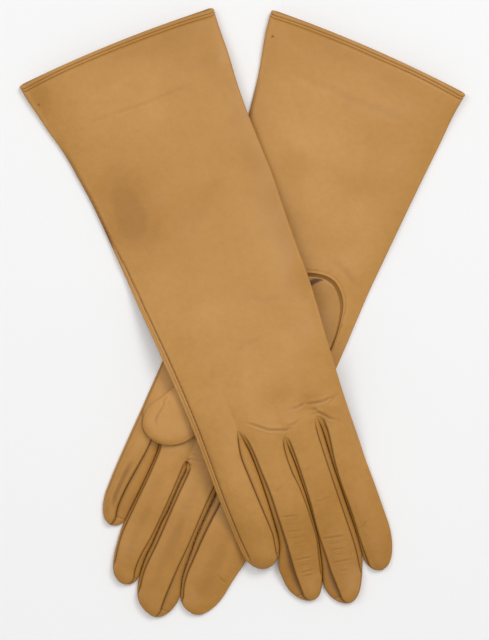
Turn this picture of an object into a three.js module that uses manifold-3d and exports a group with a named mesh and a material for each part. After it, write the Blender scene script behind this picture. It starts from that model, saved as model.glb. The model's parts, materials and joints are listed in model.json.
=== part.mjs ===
// A pair of long unlined leather gloves, laid crossed on a table top.
// The left glove lies palm up on the table, with its thumb folded over the palm.
// The right glove lies across it, back of the hand up, with its thumb folded under the palm.
// Millimetres, +Z up, the table top at z = 0.
//
// Each glove is drawn in its own frame: x runs from the finger roots (x = 0) to the fingertips,
// and back to the cuff at negative x. y runs from the little-finger edge (negative) to the
// index-finger edge (positive).

import * as THREE from 'three';
import { mergeVertices } from 'three/addons/utils/BufferGeometryUtils.js';
import Module from 'manifold-3d';

const wasm = await Module();
wasm.setup();

// ---- driving dimensions -------------------------------------------------------------------

const leather = 0.9; // thickness of the glove skin
const clear = 0.35; // gap kept between two sewn pieces
const lay_gap = 0.5; // gap kept between a layer and the layer that it lies on
const fold_gap = 0.7; // slot across a finger at its fold

const arm_length = 212; // finger roots to cuff edge
const cuff_half_width = 58;
const cuff_bow = 2; // how far the cuff edge curves out past its corners
const flare_length = 57; // cuff edge to the end of the flare
const wrist_to_root = 100;
const palm_to_root = 55;

const hem_width = 4;
const stitch_slot = 1; // groove between the hem and the hand of the glove
const thread = 0.4; // thickness of the sewing thread

const edge_rise = 0.6; // inside height where the two layers meet at an outer edge
const cuff_rise = 9; // inside height of the cuff mouth
const hand_rise = 3.8; // inside height of the palm
const mouth_length = 120; // length over which the cuff closes down to the palm
const knuckle_length = 40; // length over which the palm swells into the fingers
const wall_height = 3.4; // inside height of a finger along its side strips
const wall_clear = 0.55; // gap over and under a side strip, which stands on a bent layer
const finger_crown = 2; // how far the middle of a finger stands over its side strips
const tip_crown = 3.8;

const pinky_root = 0; // where the outer edges pass from the hand into the outer fingers
const index_root = 10;
const crotches = [8, 20, 15]; // slit ends on the back of the hand: pinky, ring, middle
const web_depth = 15; // the slits of the palm end this much nearer to the tips
const slit = 0.7; // open width of a slit
const tips = [84, 108.5, 119, 108.5]; // pinky, ring, middle and index fingertips
const tip_caps = [9, 12, 13, 12]; // length of each rounded tip

const thumb_root = [-74, 33];
const thumb_tip = [26, -29];
const thumb_half_widths = [13, 15.5]; // at the root and at the fold
const thumb_cap = 13;
const thumb_fold = 100; // thumb root to the fold
const thumb_rise = 1.4;
const thumb_heel = 12; // how far the outer half reaches behind the thumb root
const thumb_hole = [13, 10.5]; // half length and half width of the hole in the palm
const thumb_hole_rim = 17; // thumb root to the start of the half that faces the palm

const drape_radius = 120; // tightest bend that a layer takes over the layers under it
const tack = { x: 13, inset: 3.4, radius: 0.6, height: 0.5 };

const finger_names = ['pinky', 'ring', 'middle', 'index'];
const columns_per_finger = 4;
const hand_rows = 16;
const columns = finger_names.length * columns_per_finger;

// The two gloves differ in how they lie: place, turn, the spread of the fingers, and the folds.
// pinky_edge and index_edge are distances from the middle line at the flare, wrist, palm,
// root and fingertip. slits are the y of each slit at its root and at the fingertip.
const left = {
  name: 'left',
  at: [-14.9, -50.6],
  turn: -113.5,
  upper: 'palm',
  pinky_edge: [46.4, 42.3, 39.4, 35.9, 35.6],
  index_edge: [55.5, 53.6, 53.5, 51.8, 47.5],
  slits: [[-20.8, -19.8], [-1.9, 0.2], [20.8, 24.9]],
  folds: [50, 66, 69, 72],
};
const right = {
  name: 'right',
  at: [10.9, -50],
  turn: -68,
  upper: 'back',
  pinky_edge: [47.3, 43.3, 42, 39.7, 37.2],
  index_edge: [53.3, 51.8, 50.1, 45, 39.4],
  slits: [[-17.2, -23.4], [5.4, -6], [28.5, 19.1]],
  folds: [41, 53, 60, 54],
};
const slit_ends = [72, 96, 102]; // where the second value of each slit is measured
const edge_ends = [73, 88]; // where the last value of pinky_edge and index_edge is measured

const colours = {
  skin: '#c0935a',
  inner_skin: '#b5834a',
  strip: '#a8743a',
  hem: '#b98a52',
  thread: '#7d4f1e',
};

// ---- closed bodies ------------------------------------------------------------------------

function signed_volume(vertices, faces) {
  const corner = (index) => new THREE.Vector3(...vertices[index]);
  let volume = 0;
  for (const [a, b, c] of faces) {
    volume += corner(a).dot(corner(b).cross(corner(c))) / 6;
  }
  return volume;
}

function body(vertices, faces) {
  const outward = signed_volume(vertices, faces) > 0;
  const turned = outward ? faces : faces.map(([a, b, c]) => [a, c, b]);
  const geometry = new THREE.BufferGeometry();
  geometry.setAttribute('position', new THREE.Float32BufferAttribute(vertices.flat(), 3));
  geometry.setIndex(turned.flat());
  return geometry;
}

// A sheet of leather from grids of points that each carry a low and a high face.
// Grids that share points are joined, and every free edge gets a rim.
function sheet(grids) {
  const numbers = new Map();
  const vertices = [];
  const faces = [];
  const free_edges = new Map();
  const number = (point) => {
    if (!numbers.has(point)) {
      numbers.set(point, vertices.length);
      vertices.push([point.x, point.y, point.high], [point.x, point.y, point.low]);
    }
    return numbers.get(point);
  };
  const add_edge = (from, to) => {
    if (!free_edges.delete(`${to} ${from}`)) {
      free_edges.set(`${from} ${to}`, [from, to]);
    }
  };
  for (const grid of grids) {
    for (let i = 0; i < grid.length - 1; i += 1) {
      for (let j = 0; j < grid[i].length - 1; j += 1) {
        const corners = [grid[i][j], grid[i + 1][j], grid[i + 1][j + 1], grid[i][j + 1]];
        const [a, b, c, d] = corners.map(number);
        faces.push([a, b, c], [a, c, d], [a + 1, c + 1, b + 1], [a + 1, d + 1, c + 1]);
        add_edge(a, b);
        add_edge(b, c);
        add_edge(c, d);
        add_edge(d, a);
      }
    }
  }
  for (const [from, to] of free_edges.values()) {
    faces.push([to, from, from + 1], [to, from + 1, to + 1]);
  }
  return body(vertices, faces);
}

// A bar through four-cornered sections, either a closed ring or a strip with two ends.
function bar(sections, ring) {
  const faces = [];
  const count = sections.length;
  for (let i = 0; i < (ring ? count : count - 1); i += 1) {
    for (let k = 0; k < 4; k += 1) {
      const a = i * 4 + k;
      const b = i * 4 + (k + 1) % 4;
      const c = ((i + 1) % count) * 4 + (k + 1) % 4;
      const d = ((i + 1) % count) * 4 + k;
      faces.push([a, b, c], [a, c, d]);
    }
  }
  if (!ring) {
    const end = (count - 1) * 4;
    faces.push([2, 1, 0], [3, 2, 0], [end, end + 1, end + 2], [end, end + 2, end + 3]);
  }
  return body(sections.flat(), faces);
}

function to_manifold(geometry) {
  const merged = mergeVertices(geometry.clone().deleteAttribute('normal').deleteAttribute('uv'));
  return new wasm.Manifold(new wasm.Mesh({
    numProp: 3,
    vertProperties: new Float32Array(merged.attributes.position.array),
    triVerts: new Uint32Array(merged.index.array),
  }));
}

function cut(geometry, tool) {
  const rest = to_manifold(geometry).subtract(to_manifold(tool)).getMesh();
  const result = new THREE.BufferGeometry();
  result.setAttribute('position', new THREE.Float32BufferAttribute(rest.vertProperties, 3));
  result.setIndex(new THREE.Uint32BufferAttribute(rest.triVerts, 1));
  return result;
}

// ---- plan of a glove ----------------------------------------------------------------------

const { lerp, smoothstep } = THREE.MathUtils;

function edge_curve(half_widths, end, side) {
  const stations = [-arm_length, flare_length - arm_length, -wrist_to_root, -palm_to_root, 0, end];
  const values = [cuff_half_width, ...half_widths].map((width) => width * side);
  const curve = new THREE.CubicInterpolant(stations, values, 1);
  return (x) => curve.evaluate(x)[0];
}

// The five lines that bound the four fingers: outer edge, three slits, outer edge.
function boundaries(glove) {
  const slit_lines = glove.slits.map(([root, tip], i) => (x) => (
    lerp(root, tip, (x - crotches[i]) / (slit_ends[i] - crotches[i]))
  ));
  return [
    edge_curve(glove.pinky_edge, edge_ends[0], -1),
    ...slit_lines,
    edge_curve(glove.index_edge, edge_ends[1], 1),
  ];
}

function finger_plan(glove, lines, index) {
  const inset = (line) => (line > 0 && line < lines.length - 1 ? slit / 2 : 0);
  const left_side = (x) => lines[index](x) + inset(index);
  const right_side = (x) => lines[index + 1](x) - inset(index + 1);
  const shoulder = tips[index] - tip_caps[index];
  const middle = (x) => (left_side(x) + right_side(x)) / 2;
  const fold = glove.folds[index];
  const slope = (middle(shoulder) - middle(fold)) / (shoulder - fold);
  const on_side = (side, x, y) => {
    let across = y;
    for (let i = 0; i < 6; i += 1) {
      across = side(x - slope * (across - y));
    }
    return [x - slope * (across - y), across];
  };
  // the two ends of a straight line across the finger at the station x
  const across = (x) => {
    const y = middle(fold) + slope * (x - fold);
    return [on_side(left_side, x, y), on_side(right_side, x, y)];
  };
  return { name: finger_names[index], index, shoulder, fold, slope, across, middle };
}

// Inside height over a share v of the width, between two side heights.
function arch(v, side_left, side_right, crown) {
  return lerp(side_left, side_right, v) + crown * (1 - (2 * v - 1) ** 2);
}

function side_heights(index, wall) {
  return [index === 0 ? edge_rise : wall, index === finger_names.length - 1 ? edge_rise : wall];
}

function finger_rise(finger, x, v) {
  const closing = THREE.MathUtils.clamp((x - finger.fold) / (finger.shoulder - finger.fold), 0, 1);
  const wall = lerp(wall_height, edge_rise, closing ** 2);
  const [side_left, side_right] = side_heights(finger.index, wall);
  return arch(v, side_left, side_right, lerp(finger_crown, tip_crown, closing));
}

function hand_rise_at(x, share, root_rise, root_x) {
  const mouth = smoothstep(-x, arm_length - mouth_length, arm_length);
  const height = lerp(hand_rise, cuff_rise, mouth);
  const open_hand = edge_rise + (height - edge_rise) * (1 - Math.abs(2 * share - 1) ** 4);
  return lerp(open_hand, root_rise, smoothstep(x, root_x - knuckle_length, root_x));
}

// ---- layers -------------------------------------------------------------------------------

// The height of a layer that lies on everything in samples, bending no tighter than its radius.
function drape(samples, x, y) {
  let height = 0;
  for (const [sample_x, sample_y, sample_z] of samples) {
    const distance = (x - sample_x) ** 2 + (y - sample_y) ** 2;
    height = Math.max(height, sample_z + lay_gap - distance / (2 * drape_radius));
  }
  return height;
}

function to_table(glove, x, y) {
  const turn = THREE.MathUtils.degToRad(glove.turn);
  return [
    glove.at[0] + x * Math.cos(turn) - y * Math.sin(turn),
    glove.at[1] + x * Math.sin(turn) + y * Math.cos(turn),
  ];
}

function lying_on(glove, samples) {
  return (x, y) => drape(samples, ...to_table(glove, x, y));
}

// A point of the lower or the upper layer of a flattened tube that lies on floor.
function layer_point(x, y, rise, is_upper, floor) {
  const low = floor(x, y) + (is_upper ? leather + rise : 0);
  return { x, y, low, high: low + leather };
}

function top_samples(glove, grids) {
  const points = new Set(grids.flat(2));
  return [...points].map((point) => [...to_table(glove, point.x, point.y), point.high]);
}

// ---- the pieces of a glove ----------------------------------------------------------------

function cuff_x(share) {
  return -arm_length - cuff_bow * (1 - (2 * share - 1) ** 2);
}

// Rows of points across the arm from one station to another, following the bowed cuff.
function arm_rows(lines, start, end, rows, is_upper, floor) {
  const grid = [];
  for (let i = 0; i <= rows; i += 1) {
    const row = [];
    for (let j = 0; j <= columns; j += 1) {
      const share = j / columns;
      const x = cuff_x(share) + lerp(start, end, i / rows);
      const y = lerp(lines[0](x), lines[lines.length - 1](x), share);
      row.push(layer_point(x, y, hand_rise_at(x, share, 0, 0), is_upper, floor));
    }
    grid.push(row);
  }
  return grid;
}

// The row where the hand passes into the fingers, as [x, y] with the share of the width.
function root_row(lines, web) {
  const corners = [pinky_root, ...crotches, index_root].map((x, i) => [x + web, lines[i](x + web)]);
  const row = [];
  for (let j = 0; j <= columns; j += 1) {
    const index = Math.min(Math.floor(j / columns_per_finger), finger_names.length - 1);
    const v = j / columns_per_finger - index;
    const x = lerp(corners[index][0], corners[index + 1][0], v);
    const y = lerp(corners[index][1], corners[index + 1][1], v);
    row.push({ x, y, v, index });
  }
  return row;
}

// One side of the glove: the hand from the hem to the finger roots, and the fingers to their folds.
function hand_panel(glove, lines, fingers, side, floor) {
  const is_upper = glove.upper === side;
  const roots = root_row(lines, side === 'palm' ? web_depth : 0);
  const start = hem_width + stitch_slot;
  const hand = [];
  for (let i = 0; i <= hand_rows; i += 1) {
    const row = [];
    for (let j = 0; j <= columns; j += 1) {
      const root = roots[j];
      const along = i / hand_rows;
      const even = j / columns;
      const x = lerp(cuff_x(even) + start, root.x, along);
      const near = lines[0];
      const far = lines[lines.length - 1];
      const root_share = (root.y - near(root.x)) / (far(root.x) - near(root.x));
      const share = lerp(even, root_share, smoothstep(along, 0, 1));
      const root_rise = finger_rise(fingers[root.index], root.x, root.v);
      const rise = hand_rise_at(x, share, root_rise, root.x);
      row.push(layer_point(x, lerp(near(x), far(x), share), rise, is_upper, floor));
    }
    hand.push(row);
  }
  const strips = fingers.map((finger) => {
    const first = finger.index * columns_per_finger;
    const root = hand[hand_rows].slice(first, first + columns_per_finger + 1);
    const end = finger_row(finger, finger.fold - fold_gap / 2, 1, is_upper, floor);
    const between = [1, 2].map((step) => root.map((point, k) => {
      const x = lerp(point.x, end[k].x, step / 3);
      const y = lerp(point.y, end[k].y, step / 3);
      return layer_point(x, y, finger_rise(finger, x, k / columns_per_finger), is_upper, floor);
    }));
    return [root, ...between, end];
  });
  return [hand, ...strips];
}

// A row of points across a finger, narrowed to a share of its width.
function finger_row(finger, x, narrowing, is_upper, floor, crown_share = 1) {
  const [start, end] = finger.across(x);
  const row = [];
  for (let k = 0; k <= columns_per_finger; k += 1) {
    const v = k / columns_per_finger;
    const place = 0.5 + (v - 0.5) * narrowing;
    const at_x = lerp(start[0], end[0], place);
    const at_y = lerp(start[1], end[1], place);
    const rise = lerp(edge_rise, finger_rise(finger, x, v), crown_share);
    row.push(layer_point(at_x, at_y, rise, is_upper, floor));
  }
  return row;
}

// Stations of a rounded tip: how far along it they lie, and what is left of the width there.
function tip_stations(cap) {
  const last = THREE.MathUtils.degToRad(74);
  return [1, 2, 3, 4].map((step) => {
    const angle = last * step / 4;
    return { along: cap * Math.sin(angle) / Math.sin(last), width: Math.cos(angle) };
  });
}

function finger_end(finger, is_upper, floor) {
  const start = finger.fold + fold_gap / 2;
  const rows = [];
  for (let i = 0; i <= 5; i += 1) {
    rows.push(finger_row(finger, lerp(start, finger.shoulder, i / 5), 1, is_upper, floor));
  }
  for (const { along, width } of tip_stations(tip_caps[finger.index])) {
    const crown_share = lerp(1, width, 0.7);
    const x = finger.shoulder + along;
    rows.push(finger_row(finger, x, width, is_upper, floor, crown_share));
  }
  return [rows];
}

// A section of an upright strip that stands between the two layers, at [x, y] with its normal.
function wall_section([x, y], [normal_x, normal_y], height, floor) {
  const half = leather / 2;
  const near = [x - normal_x * half, y - normal_y * half];
  const far = [x + normal_x * half, y + normal_y * half];
  const near_base = floor(...near) + leather + wall_clear;
  const far_base = floor(...far) + leather + wall_clear;
  const tall = height - 2 * wall_clear;
  return [
    [...near, near_base],
    [...far, far_base],
    [...far, far_base + tall],
    [...near, near_base + tall],
  ];
}

// A line from one point to another, moved sideways by inset, as points with their normal.
function offset_line(from, to, inset, steps) {
  const length = Math.hypot(to[0] - from[0], to[1] - from[1]);
  const normal = [-(to[1] - from[1]) / length, (to[0] - from[0]) / length];
  const points = [];
  for (let i = 0; i <= steps; i += 1) {
    const x = lerp(from[0], to[0], i / steps) + normal[0] * inset;
    const y = lerp(from[1], to[1], i / steps) + normal[1] * inset;
    points.push([[x, y], normal]);
  }
  return points;
}

const wall_inset = leather / 2 + clear;

// The forked strip round one slit, from the fold of one finger to the fold of the next.
function fork(lines, fingers, index, floor) {
  const near = fingers[index];
  const far = fingers[index + 1];
  const crotch = [crotches[index], lines[index + 1](crotches[index])];
  const near_end = near.across(near.fold - fold_gap / 2)[1];
  const far_end = far.across(far.fold - fold_gap / 2)[0];
  const into_near = offset_line(near_end, crotch, wall_inset, 5);
  const out_of_far = offset_line(crotch, far_end, wall_inset, 5);
  const [near_normal, far_normal] = [into_near[0][1], out_of_far[0][1]];
  const start_angle = Math.atan2(near_normal[1], near_normal[0]);
  const end_angle = Math.atan2(far_normal[1], far_normal[0]);
  const turn = (end_angle - start_angle + 2 * Math.PI) % (2 * Math.PI) - 2 * Math.PI;
  const round = [1, 2, 3, 4].map((step) => {
    const angle = start_angle + turn * step / 5;
    const normal = [Math.cos(angle), Math.sin(angle)];
    return [[crotch[0] + normal[0] * wall_inset, crotch[1] + normal[1] * wall_inset], normal];
  });
  const path = [...into_near, ...round, ...out_of_far];
  return bar(path.map(([place, normal]) => wall_section(place, normal, wall_height, floor)), false);
}

// The strip along one side of a finger, from its fold until it tapers out near the tip.
function finger_wall(finger, side, floor) {
  const start = finger.fold + fold_gap / 2;
  const end = lerp(finger.fold, finger.shoulder, 0.75);
  const inward = side === 0 ? 1 : -1;
  const line = offset_line(finger.across(start)[side], finger.across(end)[side],
    wall_inset * inward, 5);
  return bar(line.map(([place, normal], i) => {
    const closing = (lerp(start, end, i / 5) - finger.fold) / (finger.shoulder - finger.fold);
    return wall_section(place, normal, lerp(wall_height, edge_rise, closing ** 2), floor);
  }), false);
}

// Sewing thread in the groove behind the hem, all the way round the cuff.
function hem_thread(lines, floor) {
  const x_offset = hem_width + stitch_slot / 2;
  const inset = (leather - thread) / 2;
  const point = (share, is_upper, is_outer, side) => {
    const x = cuff_x(share) + x_offset + side * thread / 2;
    const half = (lines[lines.length - 1](x) - lines[0](x)) / 2;
    const middle = (lines[lines.length - 1](x) + lines[0](x)) / 2;
    const reach = half - (is_outer ? 0 : thread);
    const y = middle + (2 * share - 1) * reach;
    const depth = is_outer ? inset : inset + thread;
    const rise = hand_rise_at(x, share, 0, 0);
    return [x, y, floor(x, y) + (is_upper ? 2 * leather + rise - depth : depth)];
  };
  const section = (share, is_upper) => [
    point(share, is_upper, true, -1),
    point(share, is_upper, true, 1),
    point(share, is_upper, false, 1),
    point(share, is_upper, false, -1),
  ];
  const shares = [];
  for (let j = 0; j <= columns; j += 1) {
    shares.push(j / columns);
  }
  const lower = shares.map((share) => section(share, false));
  const upper = shares.map((share) => section(share, true)).reverse();
  return bar([...lower, ...upper], true);
}

// Sewing thread of the side seam, along the little-finger edge from the hem to the finger's fold.
function side_seam(lines, fingers, floor) {
  const start = -arm_length + hem_width + stitch_slot;
  const end = fingers[0].fold - fold_gap;
  const middle = leather + edge_rise / 2;
  const steps = 26;
  const sections = [];
  for (let i = 0; i <= steps; i += 1) {
    const x = lerp(start, end, i / steps);
    const inner = lines[0](x) - clear;
    const outer = inner - thread;
    const low = floor(x, inner) + middle - thread;
    const high = low + 2 * thread;
    sections.push([[x, outer, low], [x, inner, low], [x, inner, high], [x, outer, high]]);
  }
  return bar(sections, false);
}

function thumb_frame() {
  const length = Math.hypot(thumb_tip[0] - thumb_root[0], thumb_tip[1] - thumb_root[1]);
  const along = [(thumb_tip[0] - thumb_root[0]) / length, (thumb_tip[1] - thumb_root[1]) / length];
  return { length, along, across: [-along[1], along[0]] };
}

// One half of the thumb between two stations, with or without its rounded tip.
function thumb_sheet(start, end, has_tip, is_upper, floor) {
  const { length, along, across } = thumb_frame();
  const row = (distance, width) => {
    const half = width * lerp(...thumb_half_widths, Math.min(distance / thumb_fold, 1));
    const points = [];
    for (let k = 0; k <= columns_per_finger; k += 1) {
      const v = k / columns_per_finger;
      const side = (2 * v - 1) * half;
      const x = thumb_root[0] + along[0] * distance + across[0] * side;
      const y = thumb_root[1] + along[1] * distance + across[1] * side;
      points.push(layer_point(x, y, arch(v, edge_rise, edge_rise, thumb_rise), is_upper, floor));
    }
    return points;
  };
  const stop = has_tip ? length - thumb_cap : end;
  const steps = Math.max(1, Math.round((stop - start) / 9));
  const rows = [];
  for (let i = 0; i <= steps; i += 1) {
    rows.push(row(lerp(start, stop, i / steps), 1));
  }
  if (has_tip) {
    for (const station of tip_stations(thumb_cap)) {
      rows.push(row(stop + station.along, station.width));
    }
  }
  return [rows];
}

// The oval hole of the palm that the thumb is sewn into.
function thumb_hole_cutter() {
  const { along } = thumb_frame();
  const outline = new THREE.Shape();
  outline.absellipse(0, 0, ...thumb_hole, 0, 2 * Math.PI, false, 0);
  const height = 100;
  const geometry = new THREE.ExtrudeGeometry(outline, {
    depth: height, bevelEnabled: false, curveSegments: 14,
  });
  geometry.translate(0, 0, -height / 2);
  geometry.rotateZ(Math.atan2(along[1], along[0]));
  geometry.translate(thumb_root[0], thumb_root[1], 0);
  return geometry;
}

function pairing_tack(lines, floor) {
  const x = -arm_length + tack.x;
  const y = lines[0](x) + tack.inset;
  const share = tack.inset / (lines[lines.length - 1](x) - lines[0](x));
  const top = floor(x, y) + 2 * leather + hand_rise_at(x, share, 0, 0);
  const geometry = new THREE.CylinderGeometry(tack.radius, tack.radius, tack.height, 12);
  geometry.rotateX(Math.PI / 2);
  geometry.translate(x, y, top + clear + tack.height / 2);
  return geometry;
}

// ---- a whole glove ------------------------------------------------------------------------

function build_glove(glove, below) {
  const group = new THREE.Group();
  group.position.set(...glove.at, 0);
  group.rotation.z = THREE.MathUtils.degToRad(glove.turn);
  const lines = boundaries(glove);
  const fingers = finger_names.map((name, index) => finger_plan(glove, lines, index));
  const palm_is_up = glove.upper === 'palm';

  const add = (name, geometry, colour, roughness) => {
    const plain = geometry.index ? geometry : mergeVertices(geometry);
    plain.computeVertexNormals();
    const material = new THREE.MeshStandardMaterial({ color: colour, roughness, metalness: 0 });
    const mesh = new THREE.Mesh(plain, material);
    mesh.name = `${glove.name}_${name}`;
    group.add(mesh);
  };

  // a thumb folded over the palm rests on the glove, and one folded under it carries the glove
  const add_thumb = (floor, split) => {
    const outer_is_upper = palm_is_up;
    const near_end = split ? thumb_fold - fold_gap / 2 : 0;
    const halves = [
      ['outer', outer_is_upper, -thumb_heel],
      ['inner', !outer_is_upper, thumb_hole_rim],
    ];
    const grids = [];
    for (const [half, is_upper, start] of halves) {
      const pieces = [['thumb', thumb_sheet(start, near_end, !split, is_upper, floor)]];
      if (split) {
        const from = thumb_fold + fold_gap / 2;
        pieces.push(['thumb_end', thumb_sheet(from, 0, true, is_upper, floor)]);
      }
      for (const [name, piece] of pieces) {
        add(`${name}_${half}`, sheet(piece), colours.skin, 0.55);
        grids.push(...piece);
      }
    }
    return top_samples(glove, grids);
  };

  const thumb_below = palm_is_up ? [] : add_thumb(lying_on(glove, below), false);
  const floor = lying_on(glove, [...below, ...thumb_below]);

  const tops = [];
  for (const side of ['back', 'palm']) {
    const is_upper = glove.upper === side;
    const panel = hand_panel(glove, lines, fingers, side, floor);
    const whole = sheet(panel);
    const shape = side === 'palm' ? cut(whole, thumb_hole_cutter()) : whole;
    add(`${side}_panel`, shape, is_upper ? colours.skin : colours.inner_skin, 0.55);
    const hem = [arm_rows(lines, 0, hem_width, 1, is_upper, floor)];
    add(`${side}_hem`, sheet(hem), colours.hem, 0.55);
    if (is_upper) {
      tops.push(...panel, ...hem);
    }
    for (const finger of fingers) {
      const end = finger_end(finger, is_upper, floor);
      add(`${finger.name}_${side}`, sheet(end), colours.skin, 0.55);
      if (is_upper) {
        tops.push(...end);
      }
    }
  }
  for (let index = 0; index < crotches.length; index += 1) {
    const [near, far] = [fingers[index], fingers[index + 1]];
    add(`${near.name}_${far.name}_fourchette`, fork(lines, fingers, index, floor),
      colours.strip, 0.6);
    add(`${near.name}_far_strip`, finger_wall(near, 1, floor), colours.strip, 0.6);
    add(`${far.name}_near_strip`, finger_wall(far, 0, floor), colours.strip, 0.6);
  }
  add('hem_thread', hem_thread(lines, floor), colours.thread, 0.8);
  add('side_seam_thread', side_seam(lines, fingers, floor), colours.thread, 0.8);
  add('pairing_tack', pairing_tack(lines, floor), colours.thread, 0.8);

  const glove_top = top_samples(glove, tops);
  const thumb_above = palm_is_up ? add_thumb(lying_on(glove, glove_top), true) : [];
  return { group, top: [...glove_top, ...thumb_above] };
}

const pair = new THREE.Group();
const lower_glove = build_glove(left, []);
const upper_glove = build_glove(right, lower_glove.top);
pair.add(lower_glove.group, upper_glove.group);

// the origin is on the table under the middle of the pair
pair.updateMatrixWorld(true);
const centre = new THREE.Box3().setFromObject(pair, true).getCenter(new THREE.Vector3());
pair.position.set(-centre.x, -centre.y, 0);

export default pair;
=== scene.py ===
"""A pair of long, unlined nappa leather gloves, laid crossed on a table.

The left glove lies palm up with its thumb folded over the palm; the right glove lies across it,
back of the hand up, with its thumb folded under. Lengths are worked out in millimetres in each
glove's own frame, x from the finger roots to the tips and y from the little finger's side to the
index finger's side, and become metres when a piece is made.
"""

import json
import math

import bmesh
import bpy
import numpy as np
from mathutils import Matrix, Vector


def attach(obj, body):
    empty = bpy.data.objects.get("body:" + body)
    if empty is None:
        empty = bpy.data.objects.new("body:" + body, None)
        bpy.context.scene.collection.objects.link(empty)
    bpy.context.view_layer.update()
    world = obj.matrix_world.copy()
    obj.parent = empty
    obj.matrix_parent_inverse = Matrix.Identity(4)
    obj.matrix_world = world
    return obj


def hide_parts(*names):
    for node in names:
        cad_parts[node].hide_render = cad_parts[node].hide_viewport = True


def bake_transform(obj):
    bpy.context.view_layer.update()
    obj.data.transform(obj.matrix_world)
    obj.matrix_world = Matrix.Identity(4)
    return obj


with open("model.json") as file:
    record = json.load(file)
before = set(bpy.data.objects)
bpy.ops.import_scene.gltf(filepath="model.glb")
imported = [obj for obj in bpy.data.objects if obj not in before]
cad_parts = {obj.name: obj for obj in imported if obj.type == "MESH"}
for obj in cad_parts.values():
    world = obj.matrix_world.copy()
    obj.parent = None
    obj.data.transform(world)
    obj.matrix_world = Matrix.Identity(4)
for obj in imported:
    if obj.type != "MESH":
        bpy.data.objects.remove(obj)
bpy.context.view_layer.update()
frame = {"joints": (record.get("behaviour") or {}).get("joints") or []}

MM = 0.001

# ---- sizes shared by both gloves ---------------------------------------------------------------

SKIN = 0.8  # thickness of the glove leather
ARM = 212.0  # finger roots to cuff edge
CUFF_BOW = 2.0  # how far the cuff edge curves out past its corners
FAR_LIP = 1.3  # how far the lower layer's cuff edge shows past the upper one
PAIR_SHIFT = (-0.2655, -1.0294)  # brings the middle of the pair over the origin

EDGE_TOTAL = 2.4  # thickness of a flat glove at its folded edge
CUFF_EDGE_TOTAL = 4.6  # the same at the cuff, where the hem doubles the skin
HAND_TOTAL = 5.6
CUFF_TOTAL = 9.4
MOUTH = 120.0  # length over which the open cuff closes down to the palm
KNUCKLE = 26.0  # length over which the palm swells into the fingers
WALL_TOTAL = 5.0  # thickness of a finger along its side strips
CROWN = 1.4  # how far the middle of a finger stands over its sides
TIP_WALL, TIP_CROWN = 3.7, 1.5
TIP_ROUNDING = 6.0

FINGERS = ["pinky", "ring", "middle", "index"]
STRIP = 22  # columns across the back or palm strip of a finger
SIDE = 10  # columns down the side of a finger or round a folded edge
HAND_ROWS = 200
ROW_CROWDING = 0.4  # over 0, the hand's rows lie closer together at the knuckles
FINGER_ROWS = 150
TIP_ROWS = 16
STRIP_TIP_ROWS = 4  # how many rows of the tip a fourchette still reaches into
TIP_ZONE = 8.0
SWELL = 0.2  # how far the soft sides of neighbouring fingers press towards each other

GROOVE_DEPTH, GROOVE_WIDTH = 0.45, 0.34  # a sewn seam pulled into the skin
# a seam's darkness: its thread, with painted shade in its groove
SEAM_DARK = 0.8
SEAM_RIDGE = 0.14  # the skin stands a little proud beside a seam
SIDE_RIDGE, SIDE_RIDGE_AT, SIDE_RIDGE_WIDTH = 0.42, 0.95, 0.5  # the skin outside the side seam
SIDE_RIDGE_INSET = (1.0, 2.2)  # it shows only where the seam lies this far in from the edge
SIDE_SEAM_FADE = (12, 4)  # from the little finger's tip, where the side seam dies away

CUFF_ZONE = 50  # length over which the doubled edge of the cuff thins to a single fold
ROOT_SPREAD = 0.6  # share of a finger over which its rows straighten
UNDER_STEP_IN, UNDER_STEP_RUN = 0.8, 6  # the lower skin lies in from a finger's outline
SEAM_TIP = 5  # a finger's seam closes over this length at the tip
SEAM_START = 7  # a finger's groove reaches its depth over this length
EDGE_SHADE = 0.3  # share of the side seam's shade left at the foot of the folded edge
SEAM_SHADE = 0.035  # share of a finger's side that a seam darkens
SLIT_END = (14, 2)  # from the shorter finger's tip, where the slit beside it stops being shaded
# how far down the left and right side of a finger the slit's shade starts and is full, as
# shares, and how deep it is
SLIT_SHADES = ((0.03, 0.42, 0.8), (0.55, 1.0, 0.6))

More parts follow.
